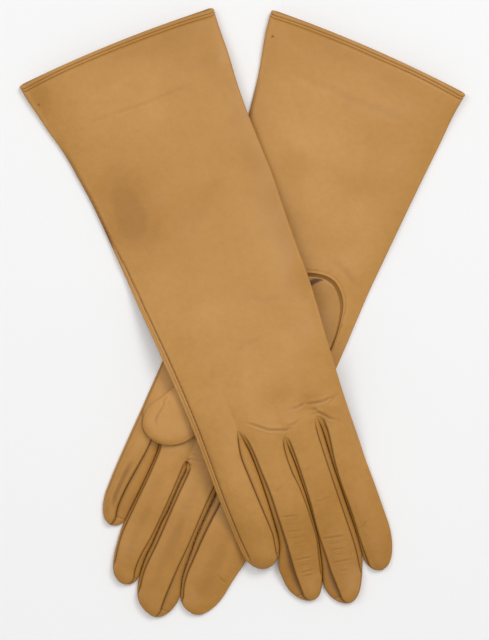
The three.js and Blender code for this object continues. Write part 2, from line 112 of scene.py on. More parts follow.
# Each line is a list of (x, y). A finger has its outline and its two seams as seen from above.
# slack_seed picks the glove's soft waves; thread_end is where its side seam's silk stops.
RIGHT = {
    "name": "right",
    "at": (10.9, -50.0),
    "turn": -68.0,
    "slack_seed": 23,
    "thread_end": 28.0,
    "pinky_edge": [(-216, -58.6), (-203, -56.8), (-194, -54.8), (-184, -52.8), (-174, -50.3),
                   (-164, -48.4), (-155, -47.3), (-137, -45.3), (-109, -43.9), (-73, -42.5),
                   (-34, -40.6), (0, -39.9), (20, -40.4), (48, -41.0), (62, -41.0), (75, -40.4)],
    "index_edge": [(-216, 57.6), (-203, 56.5), (-185, 55.5), (-168, 53.9), (-150, 53.1),
                   (-120, 53.3), (-92, 51.6), (-56, 50.1), (-40, 48.8), (-15, 46.2), (15, 43.8),
                   (38, 42.7), (50, 42.0), (67, 41.5), (85, 40.7), (100, 40.2)],
    "seam_inset": [(-150, 0.9), (-118, 1.2), (-92, 2.5), (90, 2.6)],
    "crotches": [(8, -17.2), (20, 5.4), (17.1, 25.8)],
    "under_crotches": [23, 35, 30],
    "roots": (0, 10),
    "fingers": [
        {"tip": (84.8, -30.0), "caps": (13, 17),
         "right_seam": [(8, -17.2), (13.5, -19), (25, -21), (46, -20.9), (66, -20.7), (79, -22.9)],
         "right_edge": [(8, -17.2), (15.8, -16.4), (23, -15.6), (31.5, -15.7), (48.5, -16.7),
                        (60, -17.7), (69, -18.7), (84, -18.8)]},
        {"tip": (111, -13.0), "caps": (14, 21),
         "left_seam": [(8, -17.2), (13, -14.7), (19.3, -13.8), (33.5, -13.7), (44, -13.6),
                       (59, -14.5), (76.5, -15.8), (95, -17.6), (108, -17.9)],
         "left_edge": [(8, -17.2), (15.8, -16.0), (23, -15.1), (31.5, -15.2), (48.5, -16.2),
                       (60, -17.2), (69, -18.2), (77, -20.2), (83.5, -23.4), (89, -25.0),
                       (96, -24.8), (108, -24.0)],
         "right_seam": [(20, 5.4), (22, 4.2), (26, 2.9), (40.5, 1.9), (50, 2.6), (62, 2.3),
                        (70, 1.7), (80, 0.7), (88, -1.4), (98, -4.2)],
         "right_edge": [(20, 5.4), (28, 4.8), (36, 4.8), (47, 4.3), (56, 3.8), (66, 2.9),
                        (79.6, 1.3), (88, -0.7), (97, -2.6), (108, -4.0)]},
        {"tip": (120, 5.0), "caps": (14, 24),
         "left_seam": [(20, 5.4), (23, 6.6), (28, 6.8), (41, 6.2), (61, 4.6), (75.5, 2.6),
                       (92.5, 1.5), (102, 0.9), (116, 1.0)],
         "left_edge": [(20, 5.4), (28, 5.3), (36, 5.3), (47, 4.8), (56, 4.3), (66, 3.4),
                       (79.6, 1.8), (88, -0.2), (97, -2.8), (103, -5.0), (109, -5.4), (118, -5.2)],
         "right_seam": [(17.1, 25.8), (18.4, 24.3), (20.6, 23.5), (26, 22.7), (35.3, 22), (52, 21),
                        (74, 19.8), (91, 18.8), (105, 16.6)],
         "right_edge": [(17.1, 25.8), (22, 25.6), (26, 25.4), (35.6, 24.6), (46, 23.8), (61, 23.1),
                        (83, 21.9), (91.4, 21.1), (100, 19.8), (110, 17.5), (120, 16)]},
        {"tip": (109.7, 28.0), "caps": (10, 25),
         "left_seam": [(17.1, 25.8), (18.6, 27.6), (21, 28.5), (25, 28.5), (31, 27.8),
                       (42.4, 25.8), (56.5, 24.3), (72, 23.8), (92, 22.3), (104, 21.8)],
         "left_edge": [(17.1, 25.8), (22, 26.1), (26, 25.9), (35.6, 25.2), (46, 24.3), (61, 23.6),
                       (83, 22.4), (91.4, 21.6), (100, 20.6), (108, 20.4)]},
    ],
    # (points, depth, width): creases of the worn skin
    "creases": [
        ([(4, -13.7), (9, -7), (14, -1.4), (17.5, 7.2), (16.6, 13.8)], 0.42, 0.6),
        ([(6.4, 21.5), (8.6, 23.6), (9.9, 27.5), (10.8, 32.3), (10.5, 36), (10.1, 44)], 0.42, 0.6),
        ([(11.3, 20.8), (12.2, 23.9), (12.9, 26.2), (15.3, 27.4), (18.5, 30), (20.8, 31.8),
          (22.8, 35.3), (26.7, 38.9)], 0.42, 0.6),
        ([(13.6, 22.6), (15, 25.4), (16, 28.2), (18.6, 30.8), (23, 33.8)], 0.25, 0.5),
        ([(16, 7.6), (15.6, 9.9), (16.1, 13.2), (14.6, 17)], 0.32, 0.5),
        ([(6.8, 11.3), (8.5, 17.1), (8.2, 20.7), (7.6, 22.3)], 0.3, 0.6),
        ([(10.9, 40.1), (11.8, 37.4), (12.6, 34)], 0.25, 0.5),
        ([(47, -12), (46, -8), (44, -4)], 0.16, 0.6),
        ([(60.6, -14.4), (62.4, -8), (64.4, -2)], 0.24, 0.45),
        ([(66, -13), (67.2, -8), (68, -4)], 0.12, 0.45),
        ([(69.6, -14), (71.2, -9), (72.4, -4)], 0.16, 0.45),
        ([(74, -14), (75, -9), (76, -4)], 0.14, 0.45),
        ([(77.4, -13), (78.4, -9), (79, -5)], 0.12, 0.45),
        ([(86.2, -16.4), (87.2, -11), (88.6, -4)], 0.3, 0.45),
        ([(90, -15), (90.8, -11), (91.6, -7)], 0.12, 0.45),
        ([(94, -15.6), (94.6, -11.4), (95.4, -6.6)], 0.26, 0.45),
        ([(96.4, -15), (97, -11.8), (97.6, -8)], 0.18, 0.45),
        ([(80.8, 2), (82.6, 8.6), (84.6, 17)], 0.36, 0.45),
        ([(85, 4), (86, 8), (87, 13)], 0.14, 0.45),
        ([(88.6, 4), (89.8, 9), (90.8, 14)], 0.18, 0.45),
        ([(92, 5), (93, 9), (94, 13)], 0.12, 0.45),
        ([(95.4, 2.4), (96.6, 8), (98.2, 15)], 0.26, 0.45),
        ([(101, 4), (102, 8), (103, 12)], 0.16, 0.45),
        ([(84, 23.5), (83, 27), (80.4, 31)], 0.22, 0.5),
        ([(60, 5.5), (61.4, 11), (60.4, 18)], 0.14, 0.5),
        ([(-177, -46), (-178.4, -26), (-178, -10), (-177, 8), (-177.8, 20), (-175, 53)], 0.2, 0.6),
        ([(-30, -6), (-34, 4), (-33, 16)], 0.12, 1.2),
        ([(-60, 14), (-52, 22), (-50, 34)], 0.1, 1.6),
    ],
    # (x, y, reach along x, reach along y, depth): wide soft hollows
    "hollows": [
        (-139, -22, 26, 12, 0.7), (-112, 8, 20, 26, 0.5), (-160, 20, 22, 20, 0.4),
        (-86, -18, 24, 12, 0.4), (2, 8, 9, 14, 0.8), (6, 34, 9, 8, 0.7), (-28, 30, 22, 9, 0.5),
        (-18, -14, 16, 8, 0.35),
    ],
    # (x, y, reach x, reach y, amount): painted shade where the skin turns from the light or lies
    # in a hollow, and painted sheen below 0
    "shade_and_sheen_patches": [
        (-207, 14, 9, 40, 0.5), (-124, -29, 22, 12, 1.3), (-120, 8, 22, 18, 0.25),
        (-182, -10, 20, 36, -0.3), (-100, 47, 95, 8, 0.4), (-45, -38, 50, 12, -0.55),
        (-58, -12, 34, 18, -0.3), (-8, -14, 18, 22, -0.3), (-2, 12, 8, 12, 0.45),
        (7, 26, 4, 7, 0.6), (16.5, 33, 5, 6, 0.6), (13, 37, 2.5, 4, -0.4), (-84, 20, 18, 22, 0.2),
        (-30, 20, 26, 10, -0.15), (-203, -49, 10, 6, 0.5), (-200, 40, 14, 16, 0.35),
    ],
    # painted shade darkening the fingers towards their tips: where it starts, is full, and how
    # dark
    "tip_shade": (22, 100, 0.8),
}
LEFT = {
    "name": "left",
    "at": (-14.9, -50.6),
    "turn": -113.5,
    "slack_seed": 11,
    "thread_end": 36.0,
    "pinky_edge": [(-216, -58.4), (-203, -56.8), (-195, -55.1), (-179, -51), (-162, -48),
                   (-150, -45.8), (-130, -44.2), (-100, -42.2), (-55, -39.4), (-6, -36.1),
                   (12, -36.2), (36.6, -36.5), (49, -36.6), (61, -36.4), (72, -35.9)],
    "index_edge": [(-216, 59), (-199, 57.2), (-181, 56.6), (-162, 55.7), (-144, 55), (-108, 53.8),
                   (-89, 53.3), (-45, 53.6), (0, 52.9), (40, 52), (60, 51.2), (71, 50.4),
                   (85.6, 47.9), (95, 46.8), (106, 46)],
    "seam_inset": [(-150, 0.9), (90, 0.9)],
    "crotches": [(23, -20.8), (34, -1.6), (31, 20.8)],
    "under_crotches": [8, 20, 15],
    "roots": (15, 25),
    "fingers": [
        {"tip": (83.3, -26.5), "caps": (17, 6.5),
         "right_seam": [(23, -20.8), (26, -23), (31, -24), (38.4, -24.4), (51.7, -25.7),
                        (61, -26.5), (70, -26.7), (75, -26.1), (79, -25.0)],
         "right_edge": [(23, -20.8), (32, -19.3), (40, -19.0), (59, -19.4), (67, -19.8),
                        (76, -20.2), (84, -20.2)]},
        {"tip": (110.5, -7.5), "caps": (16.5, 8.5),
         "left_seam": [(23, -20.8), (33, -18.0), (40.5, -17.6), (50, -17.7), (68, -18.3),
                       (82, -18.6), (90, -18.0), (100, -16)],
         "left_edge": [(23, -20.8), (32, -18.8), (40, -18.5), (59, -18.9), (67, -19.3),
                       (76, -19.7), (82, -19.9), (90, -19), (98, -18), (110, -17.5)],
         "right_seam": [(34, -1.6), (35.5, -2.6), (40.5, -2.4), (56, -2.3), (72, -2.6),
                        (81, -3.0), (90, -4), (96, -4.2), (101, -3.8), (105, -2.6)],
         "right_edge": [(34, -1.6), (38, -0.5), (46, -0.9), (63, -0.9), (71, -1.4), (84, -1.4),
                        (91, -1.8), (96, -1.6), (101, -1.0), (110, 0.2)]},
        {"tip": (120.3, 15.5), "caps": (16.2, 17.3),
         "left_seam": [(34, -1.6), (35.6, 0.8), (39, 1.8), (47.6, 1.5), (63, 1.3), (79.6, 1.3),
                       (95, 0.8), (102, 1.2), (108, 2.4)],
         "left_edge": [(34, -1.6), (38, 0.1), (46, -0.3), (63, -0.3), (71, -0.9), (84, -0.9),
                       (91, -1.3), (96, -1.1), (101, -0.5), (106, 0.3), (120, 0.6)],
         "right_seam": [(31, 20.8), (36, 18.4), (44.7, 17.7), (55.5, 17.5), (75, 17.6),
                        (92, 17.2), (108.6, 17.3), (117, 18)],
         "right_edge": [(31, 20.8), (38, 20.1), (46, 19.9), (54, 19.5), (63, 19.3), (73, 19.4),
                        (80, 20.0), (87, 20.4), (95, 21.4), (105, 24.4), (120, 25)]},
        {"tip": (110.3, 35.0), "caps": (7.5, 18.3),
         "left_seam": [(31, 20.8), (36, 23.2), (42, 24.4), (50, 24.4), (56, 23.9), (65, 23.4),
                       (84, 23.2), (91.5, 23.3), (97.5, 24.2), (104, 26.4)],
         "left_edge": [(31, 20.8), (38, 20.6), (46, 20.5), (54, 20.1), (63, 19.9), (73, 20.0),
                       (80, 20.6), (87, 21.0), (95, 22.0), (105, 25.0), (112, 25.4)]},
    ],
    "creases": [
        ([(44, -29.1), (55, -30), (67.7, -30.1), (75.4, -28.4)], 0.6, 1.3),
        ([(84, 38.5), (86, 41), (88, 46)], 0.3, 0.5),
        ([(33.6, -4.6), (32.6, -1), (31.6, 3), (30, 9)], 0.35, 0.5),
        # beside the thumb's left edge: a crease whose painted shade also stands in for the thumb's
        # shadow
        ([(16, -35), (20, -34.4), (22.7, -33.2), (25.5, -31.8), (28.1, -29.2), (31, -25.6)],
         0.6, 0.8),
        ([(30, -1.6), (29, 1.4), (30.4, 3.6)], 0.2, 0.5),
        ([(-186, -44), (-184, 0), (-186, 50)], 0.1, 1.6),
        ([(-100, 26), (-96, 38), (-90, 47)], 0.16, 1.6),
    ],
    "hollows": [
        (-150, 10, 24, 20, 0.5), (-112, -14, 22, 16, 0.4), (-60, -30, 20, 6, 0.4),
        (70, -10, 24, 4, 0.35), (72, 9, 26, 4, 0.35), (70, 34, 26, 6, 0.4),
        (-104, 40, 10, 10, 0.4),
    ],
    # painted shade where the skin turns from the light or lies in a hollow, and painted sheen
    # below 0
    "shade_and_sheen_patches": [
        (-207, -20, 9, 36, 0.45), (-168, -20, 22, 40, -0.35), (-142, -44, 16, 10, 0.5),
        (-125, 8, 20, 16, -0.3), (-108, 38, 25, 14, -0.3), (-45, -15, 34, 30, -0.3),
        (0, -20, 25, 30, -0.4), (72, -11, 26, 3.2, 0.45), (74, 9, 28, 3.2, 0.45),
        (72, 35, 28, 5, 0.45), (58, -30, 16, 3, 0.4),
    ],
    # painted shade darkening the fingers towards their tips: where it starts, is full, and how
    # dark
    "tip_shade": (26, 104, 0.65),
}

# The thumb, in its own frame: d along it from its root, e across it.
THUMB_ROOT = (-74.0, 33.0)
THUMB_ALONG = (0.8499, -0.5269)
THUMB_TIP = (120.0, 2.0)
THUMB_CAPS = (16.0, 20.0)
THUMB_HEEL = (-11.2, -5.5)
THUMB_HEEL_CAPS = (9.0, 22.0)
THUMB_LEFT = [(-12, -18.2), (12, -18.6), (35, -16.2), (60, -13), (95, -10), (105, -9.6),
              (120, -9.6)]
THUMB_RIGHT = [(-12, 22.0), (10, 22), (35, 19), (60, 17), (90, 18.4), (120, 19)]
THUMB_TOTAL = 4.0
# a small deep pocket where the thumb's skin is folded at its heel, and the fold's edge
POCKET = [(-1.0, -14.3), (-4.2, -14.0), (-7.0, -13.0)]
POCKET_FOLD = [(-1.0, -11.5), (-6.6, -11.7)]
THUMB_WRINKLES = [
    ([(101.6, -6.4), (104.4, -4.4), (109.6, -2), (111.9, 0.1), (113.3, 3.4)], 0.45),
    ([(98.4, -8), (101.6, -7.4), (103.7, -3.6)], 0.3), ([(98.8, -5.3), (101.6, -3.4)], 0.25),
]
THUMB_ROWS, HEEL_ROWS = 170, 14
THUMB_COLUMNS = 2 * STRIP
THUMB_HEEL_SHARE, THUMB_TIP_SHARE = 0.09, 0.93  # where rows crowd towards the heel and the tip
THUMB_INSET = 1.0  # its rounded edge
THUMB_EDGE_SHARE = 0.62  # thickness beside its edges, as a share of the middle's
THUMB_TIP_TOTAL = 1.2
THUMB_SLACK, THUMB_WAVES = 0.7, 1.3  # its waves are lower and closer than the hand's
THUMB_WRINKLE_WIDTH = 0.6
WRINKLE_SIDE, WRINKLE_SIDE_WIDTH = 1.2, 0.7  # the swelling beside a wrinkle
HEEL_TOTAL = 1.4  # thickness of the sunk heel
HEEL_SINK = 1.6  # how far it lies below the palm
HEEL_RISE = (4, 44)  # where along it the thumb comes up out of the hole
# painted shadow of the right glove, which lies over the sunk heel
HEEL_DARK = 0.12
POCKET_DEPTH, POCKET_WIDTH = 0.25, 1.5
# the pocket's painted shade: how dark, and how far it reaches
POCKET_DARK, POCKET_SHADE = 0.95, 1.6
FOLD_LIP, LIP_WIDTH = 0.35, 0.6
HOLE_FADE = (26, 44)
HOLE_MIDDLE = 20
RIM_NARROWING, RIM_NARROWS = 0.5, (3, 14)
RIM_REACH = 44.0  # how far along the thumb the edge of its hole is followed
RIM_ROWS = 110
HOLE_STEPS = 40
RECESS_DEPTH = 1.75
RECESS_EDGE = (2.9, 1.95)  # distance out from the thumb where the palm starts down, and is down

CREASE_BULGE = 0.6
# painted shade in a crease, as a share of its depth, and its most
CREASE_DARK, CREASE_DARK_MOST = 0.7, 0.5
CREASE_END = 0.3  # share of a crease over which it fades at each end

# ---- small helpers -----------------------------------------------------------------------------


def mix(a, b, share):
    return a + (b - a) * share


def ease(x, low, high):
    """0 before low, 1 after high, with a smooth passage between."""
    t = np.clip((np.asarray(x, float) - low) / (high - low), 0, 1)
    return t * t * (3 - 2 * t)


def line(points):
    """A smooth line through points, straight on before the first and after the last."""
    xs, ys = np.array(points, float).T
    steps = np.diff(ys) / np.diff(xs)
    slopes = np.concatenate([steps[:1], (steps[:-1] + steps[1:]) / 2, steps[-1:]])
    flat = np.concatenate([[False], steps[:-1] * steps[1:] <= 0, [False]])
    slopes = np.where(flat, 0.0, slopes)

    def at(x):
        x = np.clip(np.asarray(x, float), xs[0], xs[-1])
        k = np.clip(np.searchsorted(xs, x, side="right") - 1, 0, len(xs) - 2)
        h = xs[k + 1] - xs[k]
        t = (x - xs[k]) / h
        return (ys[k] * (1 + 2 * t) * (1 - t) ** 2 + slopes[k] * h * t * (1 - t) ** 2
                + ys[k + 1] * t * t * (3 - 2 * t) + slopes[k + 1] * h * t * t * (t - 1))

    return at


def to_table(glove, x, y):
    """From a glove's frame to the table's, both in millimetres."""
    turn = math.radians(glove["turn"])
    return (glove["at"][0] + PAIR_SHIFT[0] + x * math.cos(turn) - y * math.sin(turn),
            glove["at"][1] + PAIR_SHIFT[1] + x * math.sin(turn) + y * math.cos(turn))


def on_table(glove, x, y, z):
    """Points of a glove as one array in the table's frame."""
    return np.stack([*to_table(glove, x, y), z], axis=-1)


def from_table(glove, x, y):
    """The reverse of to_table."""
    turn = math.radians(glove["turn"])
    dx = x - glove["at"][0] - PAIR_SHIFT[0]
    dy = y - glove["at"][1] - PAIR_SHIFT[1]
    return (dx * math.cos(turn) + dy * math.sin(turn), dy * math.cos(turn) - dx * math.sin(turn))


def distance_to(points, x, y):
    """Distance from (x, y) to a run of straight pieces, and the share of the run passed there."""
    best = np.full(np.shape(x), 1e9)
    share = np.zeros(np.shape(x))
    count = len(points) - 1
    for i in range(count):
        (ax, ay), (bx, by) = points[i], points[i + 1]
        length2 = (bx - ax) ** 2 + (by - ay) ** 2
        t = np.clip(((x - ax) * (bx - ax) + (y - ay) * (by - ay)) / length2, 0, 1)
        d = np.hypot(x - ax - t * (bx - ax), y - ay - t * (by - ay))
        nearer = d < best
        best = np.where(nearer, d, best)
        share = np.where(nearer, (i + t) / count, share)
    return best, share


def fade_at_ends(share):
    return ease(share, 0, CREASE_END) * ease(1 - share, 0, CREASE_END)


def relief(glove, x, y):
    """Rise or dip of the skin from its creases, hollows and slack, and the painted shade in a
    crease.
    """
    rise = np.zeros(np.shape(x))
    dark = np.zeros(np.shape(x))
    for points, depth, width in glove["creases"]:
        d, share = distance_to(points, x, y)
        fade = fade_at_ends(share)
        dip = np.exp(-(d / width) ** 2)
        sides = np.exp(-((d - 2 * width) / (1.2 * width)) ** 2)
        rise += fade * depth * (CREASE_BULGE * sides - dip)
        dark += fade * dip * min(CREASE_DARK * depth, CREASE_DARK_MOST)
    for at_x, at_y, reach_x, reach_y, depth in glove["hollows"]:
        rise -= depth * np.exp(-((x - at_x) / reach_x) ** 2 - ((y - at_y) / reach_y) ** 2)
    rise += slack(glove, x, y)
    return rise, dark


def shade_and_sheen_of(glove, x, y):
    """Painted shade and painted sheen, from 1, the deepest painted shade, to -1, the brightest
    painted sheen.
    """
    shade_and_sheen = np.zeros(np.shape(x))
    for at_x, at_y, reach_x, reach_y, amount in glove["shade_and_sheen_patches"]:
        shade_and_sheen += amount * np.exp(-((x - at_x) / reach_x) ** 2 - ((y - at_y) / reach_y) ** 2)
    start, end, amount = glove["tip_shade"]
    return shade_and_sheen + amount * ease(x, start, end)


WAVES = 14
WAVE_LENGTHS = (22, 75)
SLACK_HEIGHT, SLACK_LENGTH = 0.15, 45  # height of a wave of that length; longer ones are higher


def slack(glove, x, y):
    """Long low waves of a soft skin that isn't stretched, the same ones on each run."""
    random = np.random.default_rng(glove["slack_seed"])
    total = np.zeros(np.shape(x))
    for _ in range(WAVES):
        angle = random.uniform(0, math.pi)
        length = random.uniform(*WAVE_LENGTHS)
        phase = random.uniform(0, 2 * math.pi)
        along = x * math.cos(angle) + y * math.sin(angle)
        height = SLACK_HEIGHT * (length / SLACK_LENGTH)
        total += height * np.cos(2 * math.pi * along / length + phase)
    return total


# ---- what a layer lies on ----------------------------------------------------------------------

BED_STEP = 2.5
BED_HALF = (160.0, 200.0)
BED_BLURS = 4
LAY_GAP = 0.6  # between one layer and the next


def blurred(height, times):
    for _ in range(times):
        for axis in (0, 1):
            height = (np.roll(height, 1, axis) + 2 * height + np.roll(height, -1, axis)) / 4
    return height


def bed_over(points, bend_radius):
    """The height of a skin that lies on points and bends no tighter than bend_radius."""
    xs = np.arange(-BED_HALF[0], BED_HALF[0] + BED_STEP / 2, BED_STEP)
    ys = np.arange(-BED_HALF[1], BED_HALF[1] + BED_STEP / 2, BED_STEP)
    top = np.zeros((len(xs), len(ys)))
    if len(points):
        i = np.rint((points[:, 0] - xs[0]) / BED_STEP).astype(int)
        j = np.rint((points[:, 1] - ys[0]) / BED_STEP).astype(int)
        np.maximum.at(top, (i, j), points[:, 2] + LAY_GAP)
        grid_x, grid_y = np.meshgrid(xs, ys, indexing="ij")
        height = np.zeros_like(top)
        for i, j in np.argwhere(top > 0):
            near = (grid_x - xs[i]) ** 2 + (grid_y - ys[j]) ** 2
            np.maximum(height, top[i, j] - near / (2 * bend_radius), out=height)
        height = blurred(height, BED_BLURS)
    else:
        height = top

    def at(x, y):
        u = (np.asarray(x, float) - xs[0]) / BED_STEP
        v = (np.asarray(y, float) - ys[0]) / BED_STEP
        iu, iv = np.floor(u).astype(int), np.floor(v).astype(int)
        fu, fv = u - iu, v - iv
        weights = [[(1 - f) ** 3, 3 * f ** 3 - 6 * f ** 2 + 4,
                    -3 * f ** 3 + 3 * f ** 2 + 3 * f + 1, f ** 3] for f in (fu, fv)]
        total = 0.0
        for a in range(4):
            for b in range(4):
                cell = height[np.clip(iu + a - 1, 0, len(xs) - 1),
                              np.clip(iv + b - 1, 0, len(ys) - 1)]
                total = total + weights[0][a] * weights[1][b] * cell / 36
        return total

    return at


# ---- plan of a glove ---------------------------------------------------------------------------


def closing(x, tip_x, cap):
    """1 along a finger, falling to 0 at its tip as a quarter of an ellipse does."""
    u = np.clip((x - (tip_x - cap)) / cap, 0, 1)
    return np.sqrt(1 - u * u)


def plan_of(glove):
    """Every line of a glove, ready to be read at any x."""
    edges = (line(glove["pinky_edge"]), line(glove["index_edge"]))
    fingers = []
    for k, drawn in enumerate(glove["fingers"]):
        tip_x, tip_y = drawn["tip"]
        sides = []
        for hand, side in enumerate(("left", "right")):
            outer = (k == 0 and hand == 0) or (k == 3 and hand == 1)
            base = edges[hand] if outer else line(drawn[side + "_edge"])
            seam = None if outer else line(drawn[side + "_seam"])
            sides.append({"outer": outer, "base": base, "seam": seam, "cap": drawn["caps"][hand]})
        fingers.append({"tip": (tip_x, tip_y), "sides": sides})
    return {"edges": edges, "fingers": fingers}


def outline(finger, hand, x):
    side = finger["sides"][hand]
    tip_x, tip_y = finger["tip"]
    swell = 0 if side["outer"] else (2 * hand - 1) * SWELL
    return tip_y + (side["base"](x) + swell - tip_y) * closing(x, tip_x, side["cap"])


def seam(finger, hand, x):
    """The y of a finger's seam, kept inside the outline and drawn in with it at the tip."""
    side = finger["sides"][hand]
    inward = 1 if hand == 0 else -1
    tip_x, tip_y = finger["tip"]
    held = np.minimum(x, tip_x - SEAM_TIP)
    edge = outline(finger, hand, held)
    if side["outer"]:
        line_y = edge + inward * EDGE_TOTAL / 2
    else:
        line_y = side["seam"](held)
        line_y = edge + inward * np.maximum(inward * (line_y - edge), 0.0)
    drawn_in = tip_y + (line_y - tip_y) * closing(x, tip_x, SEAM_TIP)
    edge = outline(finger, hand, x)
    return edge + inward * np.maximum(inward * (drawn_in - edge), 0.0)


END_CROWDING = 0.72


def spread_over(count):
    """Shares from 0 to 1 that lie closer together near both ends."""
    even = np.linspace(0, 1, count + 1)
    return (1 - END_CROWDING) * even + END_CROWDING * (0.5 - 0.5 * np.cos(np.pi * even))


SEAM_SHARE, SEAM_COLUMNS = 0.12, 9  # part of the little finger's strip beside its seam
PINKY_CROWDING = 0.6


def shares_across(k):
    """Where the columns of a finger's strip lie, crowded at its seams."""
    if k > 0:
        return spread_over(STRIP)
    beside = np.linspace(0, SEAM_SHARE, SEAM_COLUMNS, endpoint=False)
    rest = np.linspace(0, 1, STRIP + 1 - SEAM_COLUMNS)
    rest = (1 - PINKY_CROWDING) * rest + PINKY_CROWDING * np.sin(np.pi / 2 * rest)
    return np.concatenate([beside, SEAM_SHARE + (1 - SEAM_SHARE) * rest])


def finger_top(k, v, along):
    """Thickness across a finger's strip, v from 0 to 1, at a share along it from root to tip."""
    wall = mix(WALL_TOTAL, TIP_WALL, along ** 1.5)
    crown = mix(CROWN, TIP_CROWN, along)
    low_left = EDGE_TOTAL if k == 0 else wall
    low_right = EDGE_TOTAL if k == 3 else wall
    bend = np.where(low_left < low_right, 1 - (1 - v) ** 3,
                    np.where(low_left > low_right, v ** 3, v))
    return mix(low_left, low_right, bend) + crown * (1 - (2 * v - 1) ** 2)


SIDE_CROWDING = 1.4  # over 1, columns lie closer together at the seam
SIDE_FLATNESS = 0.4  # 0 for a round side, 1 for one with a plain fold half way down


def side_run(top, bottom, out_y, is_round):
    """Points from a top corner round to a bottom corner, out to out_y half way down."""
    t = np.linspace(0, 1, SIDE + 1) ** (1.0 if is_round else SIDE_CROWDING)
    (tx, ty, tz), (bx, by, bz) = top, bottom
    x = mix(tx[..., None], bx[..., None], t)
    base = mix(ty[..., None], by[..., None], t)
    reach = out_y[..., None] - base
    y_round = base + reach * np.sin(np.pi * t)
    z_round = (tz + bz)[..., None] / 2 + (tz - bz)[..., None] / 2 * np.cos(np.pi * t)
    if is_round:
        return x, y_round, z_round
    y_flat = base + reach * (1 - np.abs(2 * t - 1))
    z_flat = mix(tz[..., None], bz[..., None], t)
    return x, mix(y_round, y_flat, SIDE_FLATNESS), mix(z_round, z_flat, SIDE_FLATNESS)


def join_ring(left, top, right, bottom):
    """One closed run of columns: up the left side, across, down the right side and back."""
    parts = []
    for axis in range(3):
        parts.append(np.concatenate([left[axis][..., ::-1][..., :-1], top[axis][..., :-1],
                                     right[axis][..., :-1], bottom[axis][..., ::-1]], axis=-1))
    return parts


# ---- making meshes -----------------------------------------------------------------------------

joined_normals = {}
KEY_STEPS = 20  # per millimetre; points that share a key share their normal
# in thicknesses: the flesh side's greatest depth, and its depth where it would come outside
FLESH_REACH, FLESH_STAND = 1.2, 0.5


def key_of(point):
    return tuple(int(round(c * KEY_STEPS)) for c in point)


def new_mesh_object(name, bm, materials):
    mesh = bpy.data.meshes.new(name)
    bm.to_mesh(mesh)
    bm.free()
    mesh.shade_smooth()
    for material in materials:
        mesh.materials.append(material)
    piece = bpy.data.objects.new(name, mesh)
    bpy.context.scene.collection.objects.link(piece)
    return piece


def drawn_grid(points, dark, glove=None):
    """A grid of faces moved to points, an array of rows by columns by 3 in millimetres."""
    rows, columns = points.shape[:2]
    bm = bmesh.new()
    bmesh.ops.create_grid(bm, x_segments=columns - 1, y_segments=rows - 1, size=1)
    dark_layer = bm.verts.layers.float.new("dark")
    shade_and_sheen_layer = bm.verts.layers.float.new("shade_and_sheen")
    flat_points = points.reshape(-1, 3)
    flat_dark = dark.reshape(-1)
    flat_shade_and_sheen = np.zeros(len(flat_dark))
    if glove:
        flat_shade_and_sheen = shade_and_sheen_of(glove, *from_table(glove, flat_points[:, 0], flat_points[:, 1]))
    for number, vert in enumerate(bm.verts):
        vert.co = flat_points[number] * MM
        vert[dark_layer] = flat_dark[number]
        vert[shade_and_sheen_layer] = flat_shade_and_sheen[number]
    return bm


def skin_piece(name, glove, points, dark, keep, materials, thickness=SKIN):
    """A leather piece: the kept faces of a grid, with its doubles merged and given a thickness."""
    bm = drawn_grid(points, dark, glove)
    bm.faces.ensure_lookup_table()
    cut_away = [bm.faces[int(n)] for n in np.flatnonzero(~keep.reshape(-1))]
    bmesh.ops.delete(bm, geom=cut_away, context="FACES")
    bmesh.ops.remove_doubles(bm, verts=bm.verts[:], dist=1e-6)
    bmesh.ops.reverse_faces(bm, faces=bm.faces[:])
    place = bm.verts.layers.float_vector.new("grain_side")
    outward = bm.verts.layers.float_vector.new("outward")
    bm.normal_update()
    for vert in bm.verts:
        vert[place], vert[outward] = vert.co, vert.normal
    made = bmesh.ops.solidify(bm, geom=bm.faces[:], thickness=thickness * MM)
    for part in made["geom"]:
        if isinstance(part, bmesh.types.BMFace):
            part.material_index = 1
    # at a sharp fold the flesh side would shoot off, so it stays near the grain side
    for vert in bm.verts:
        depth = vert.co - vert[place]
        if depth.length > FLESH_REACH * thickness * MM:
            vert.co = vert[place] + depth * (FLESH_REACH * thickness * MM / depth.length)
        if depth.dot(vert[outward]) > 0:
            vert.co = vert[place] - vert[outward] * (FLESH_STAND * thickness * MM)
        vert.co.z = max(vert.co.z, 0.0)
    bm.verts.layers.float_vector.remove(bm.verts.layers.float_vector["grain_side"])
    bm.verts.layers.float_vector.remove(bm.verts.layers.float_vector["outward"])
    piece = new_mesh_object(name, bm, materials)
    normals = np.zeros((len(piece.data.vertices), 3))
    found = 0
    for vert in piece.data.vertices:
        normal = joined_normals.get(key_of(vert.co / MM))
        if normal is not None:
            normals[vert.index] = normal
            found += 1
    if found:
        piece.data.normals_split_custom_set_from_vertices(normals)
    return piece


def remember_normals(before, shared, after):
    """The shared row between two pieces of one skin is lit as one surface."""
    along = after - before
    across = np.gradient(shared, axis=0)
    normal = np.cross(along, across)
    normal /= np.linalg.norm(normal, axis=1)[:, None]
    for point, direction in zip(shared, normal):
        joined_normals[key_of(point)] = tuple(direction)


# ---- materials ---------------------------------------------------------------------------------


def linear(hex_colour):
    """An sRGB hex colour as linear red, green, blue and alpha."""
    values = [int(hex_colour[i:i + 2], 16) / 255 for i in (1, 3, 5)]
    return [v / 12.92 if v <= 0.04045 else ((v + 0.055) / 1.055) ** 2.4 for v in values] + [1.0]


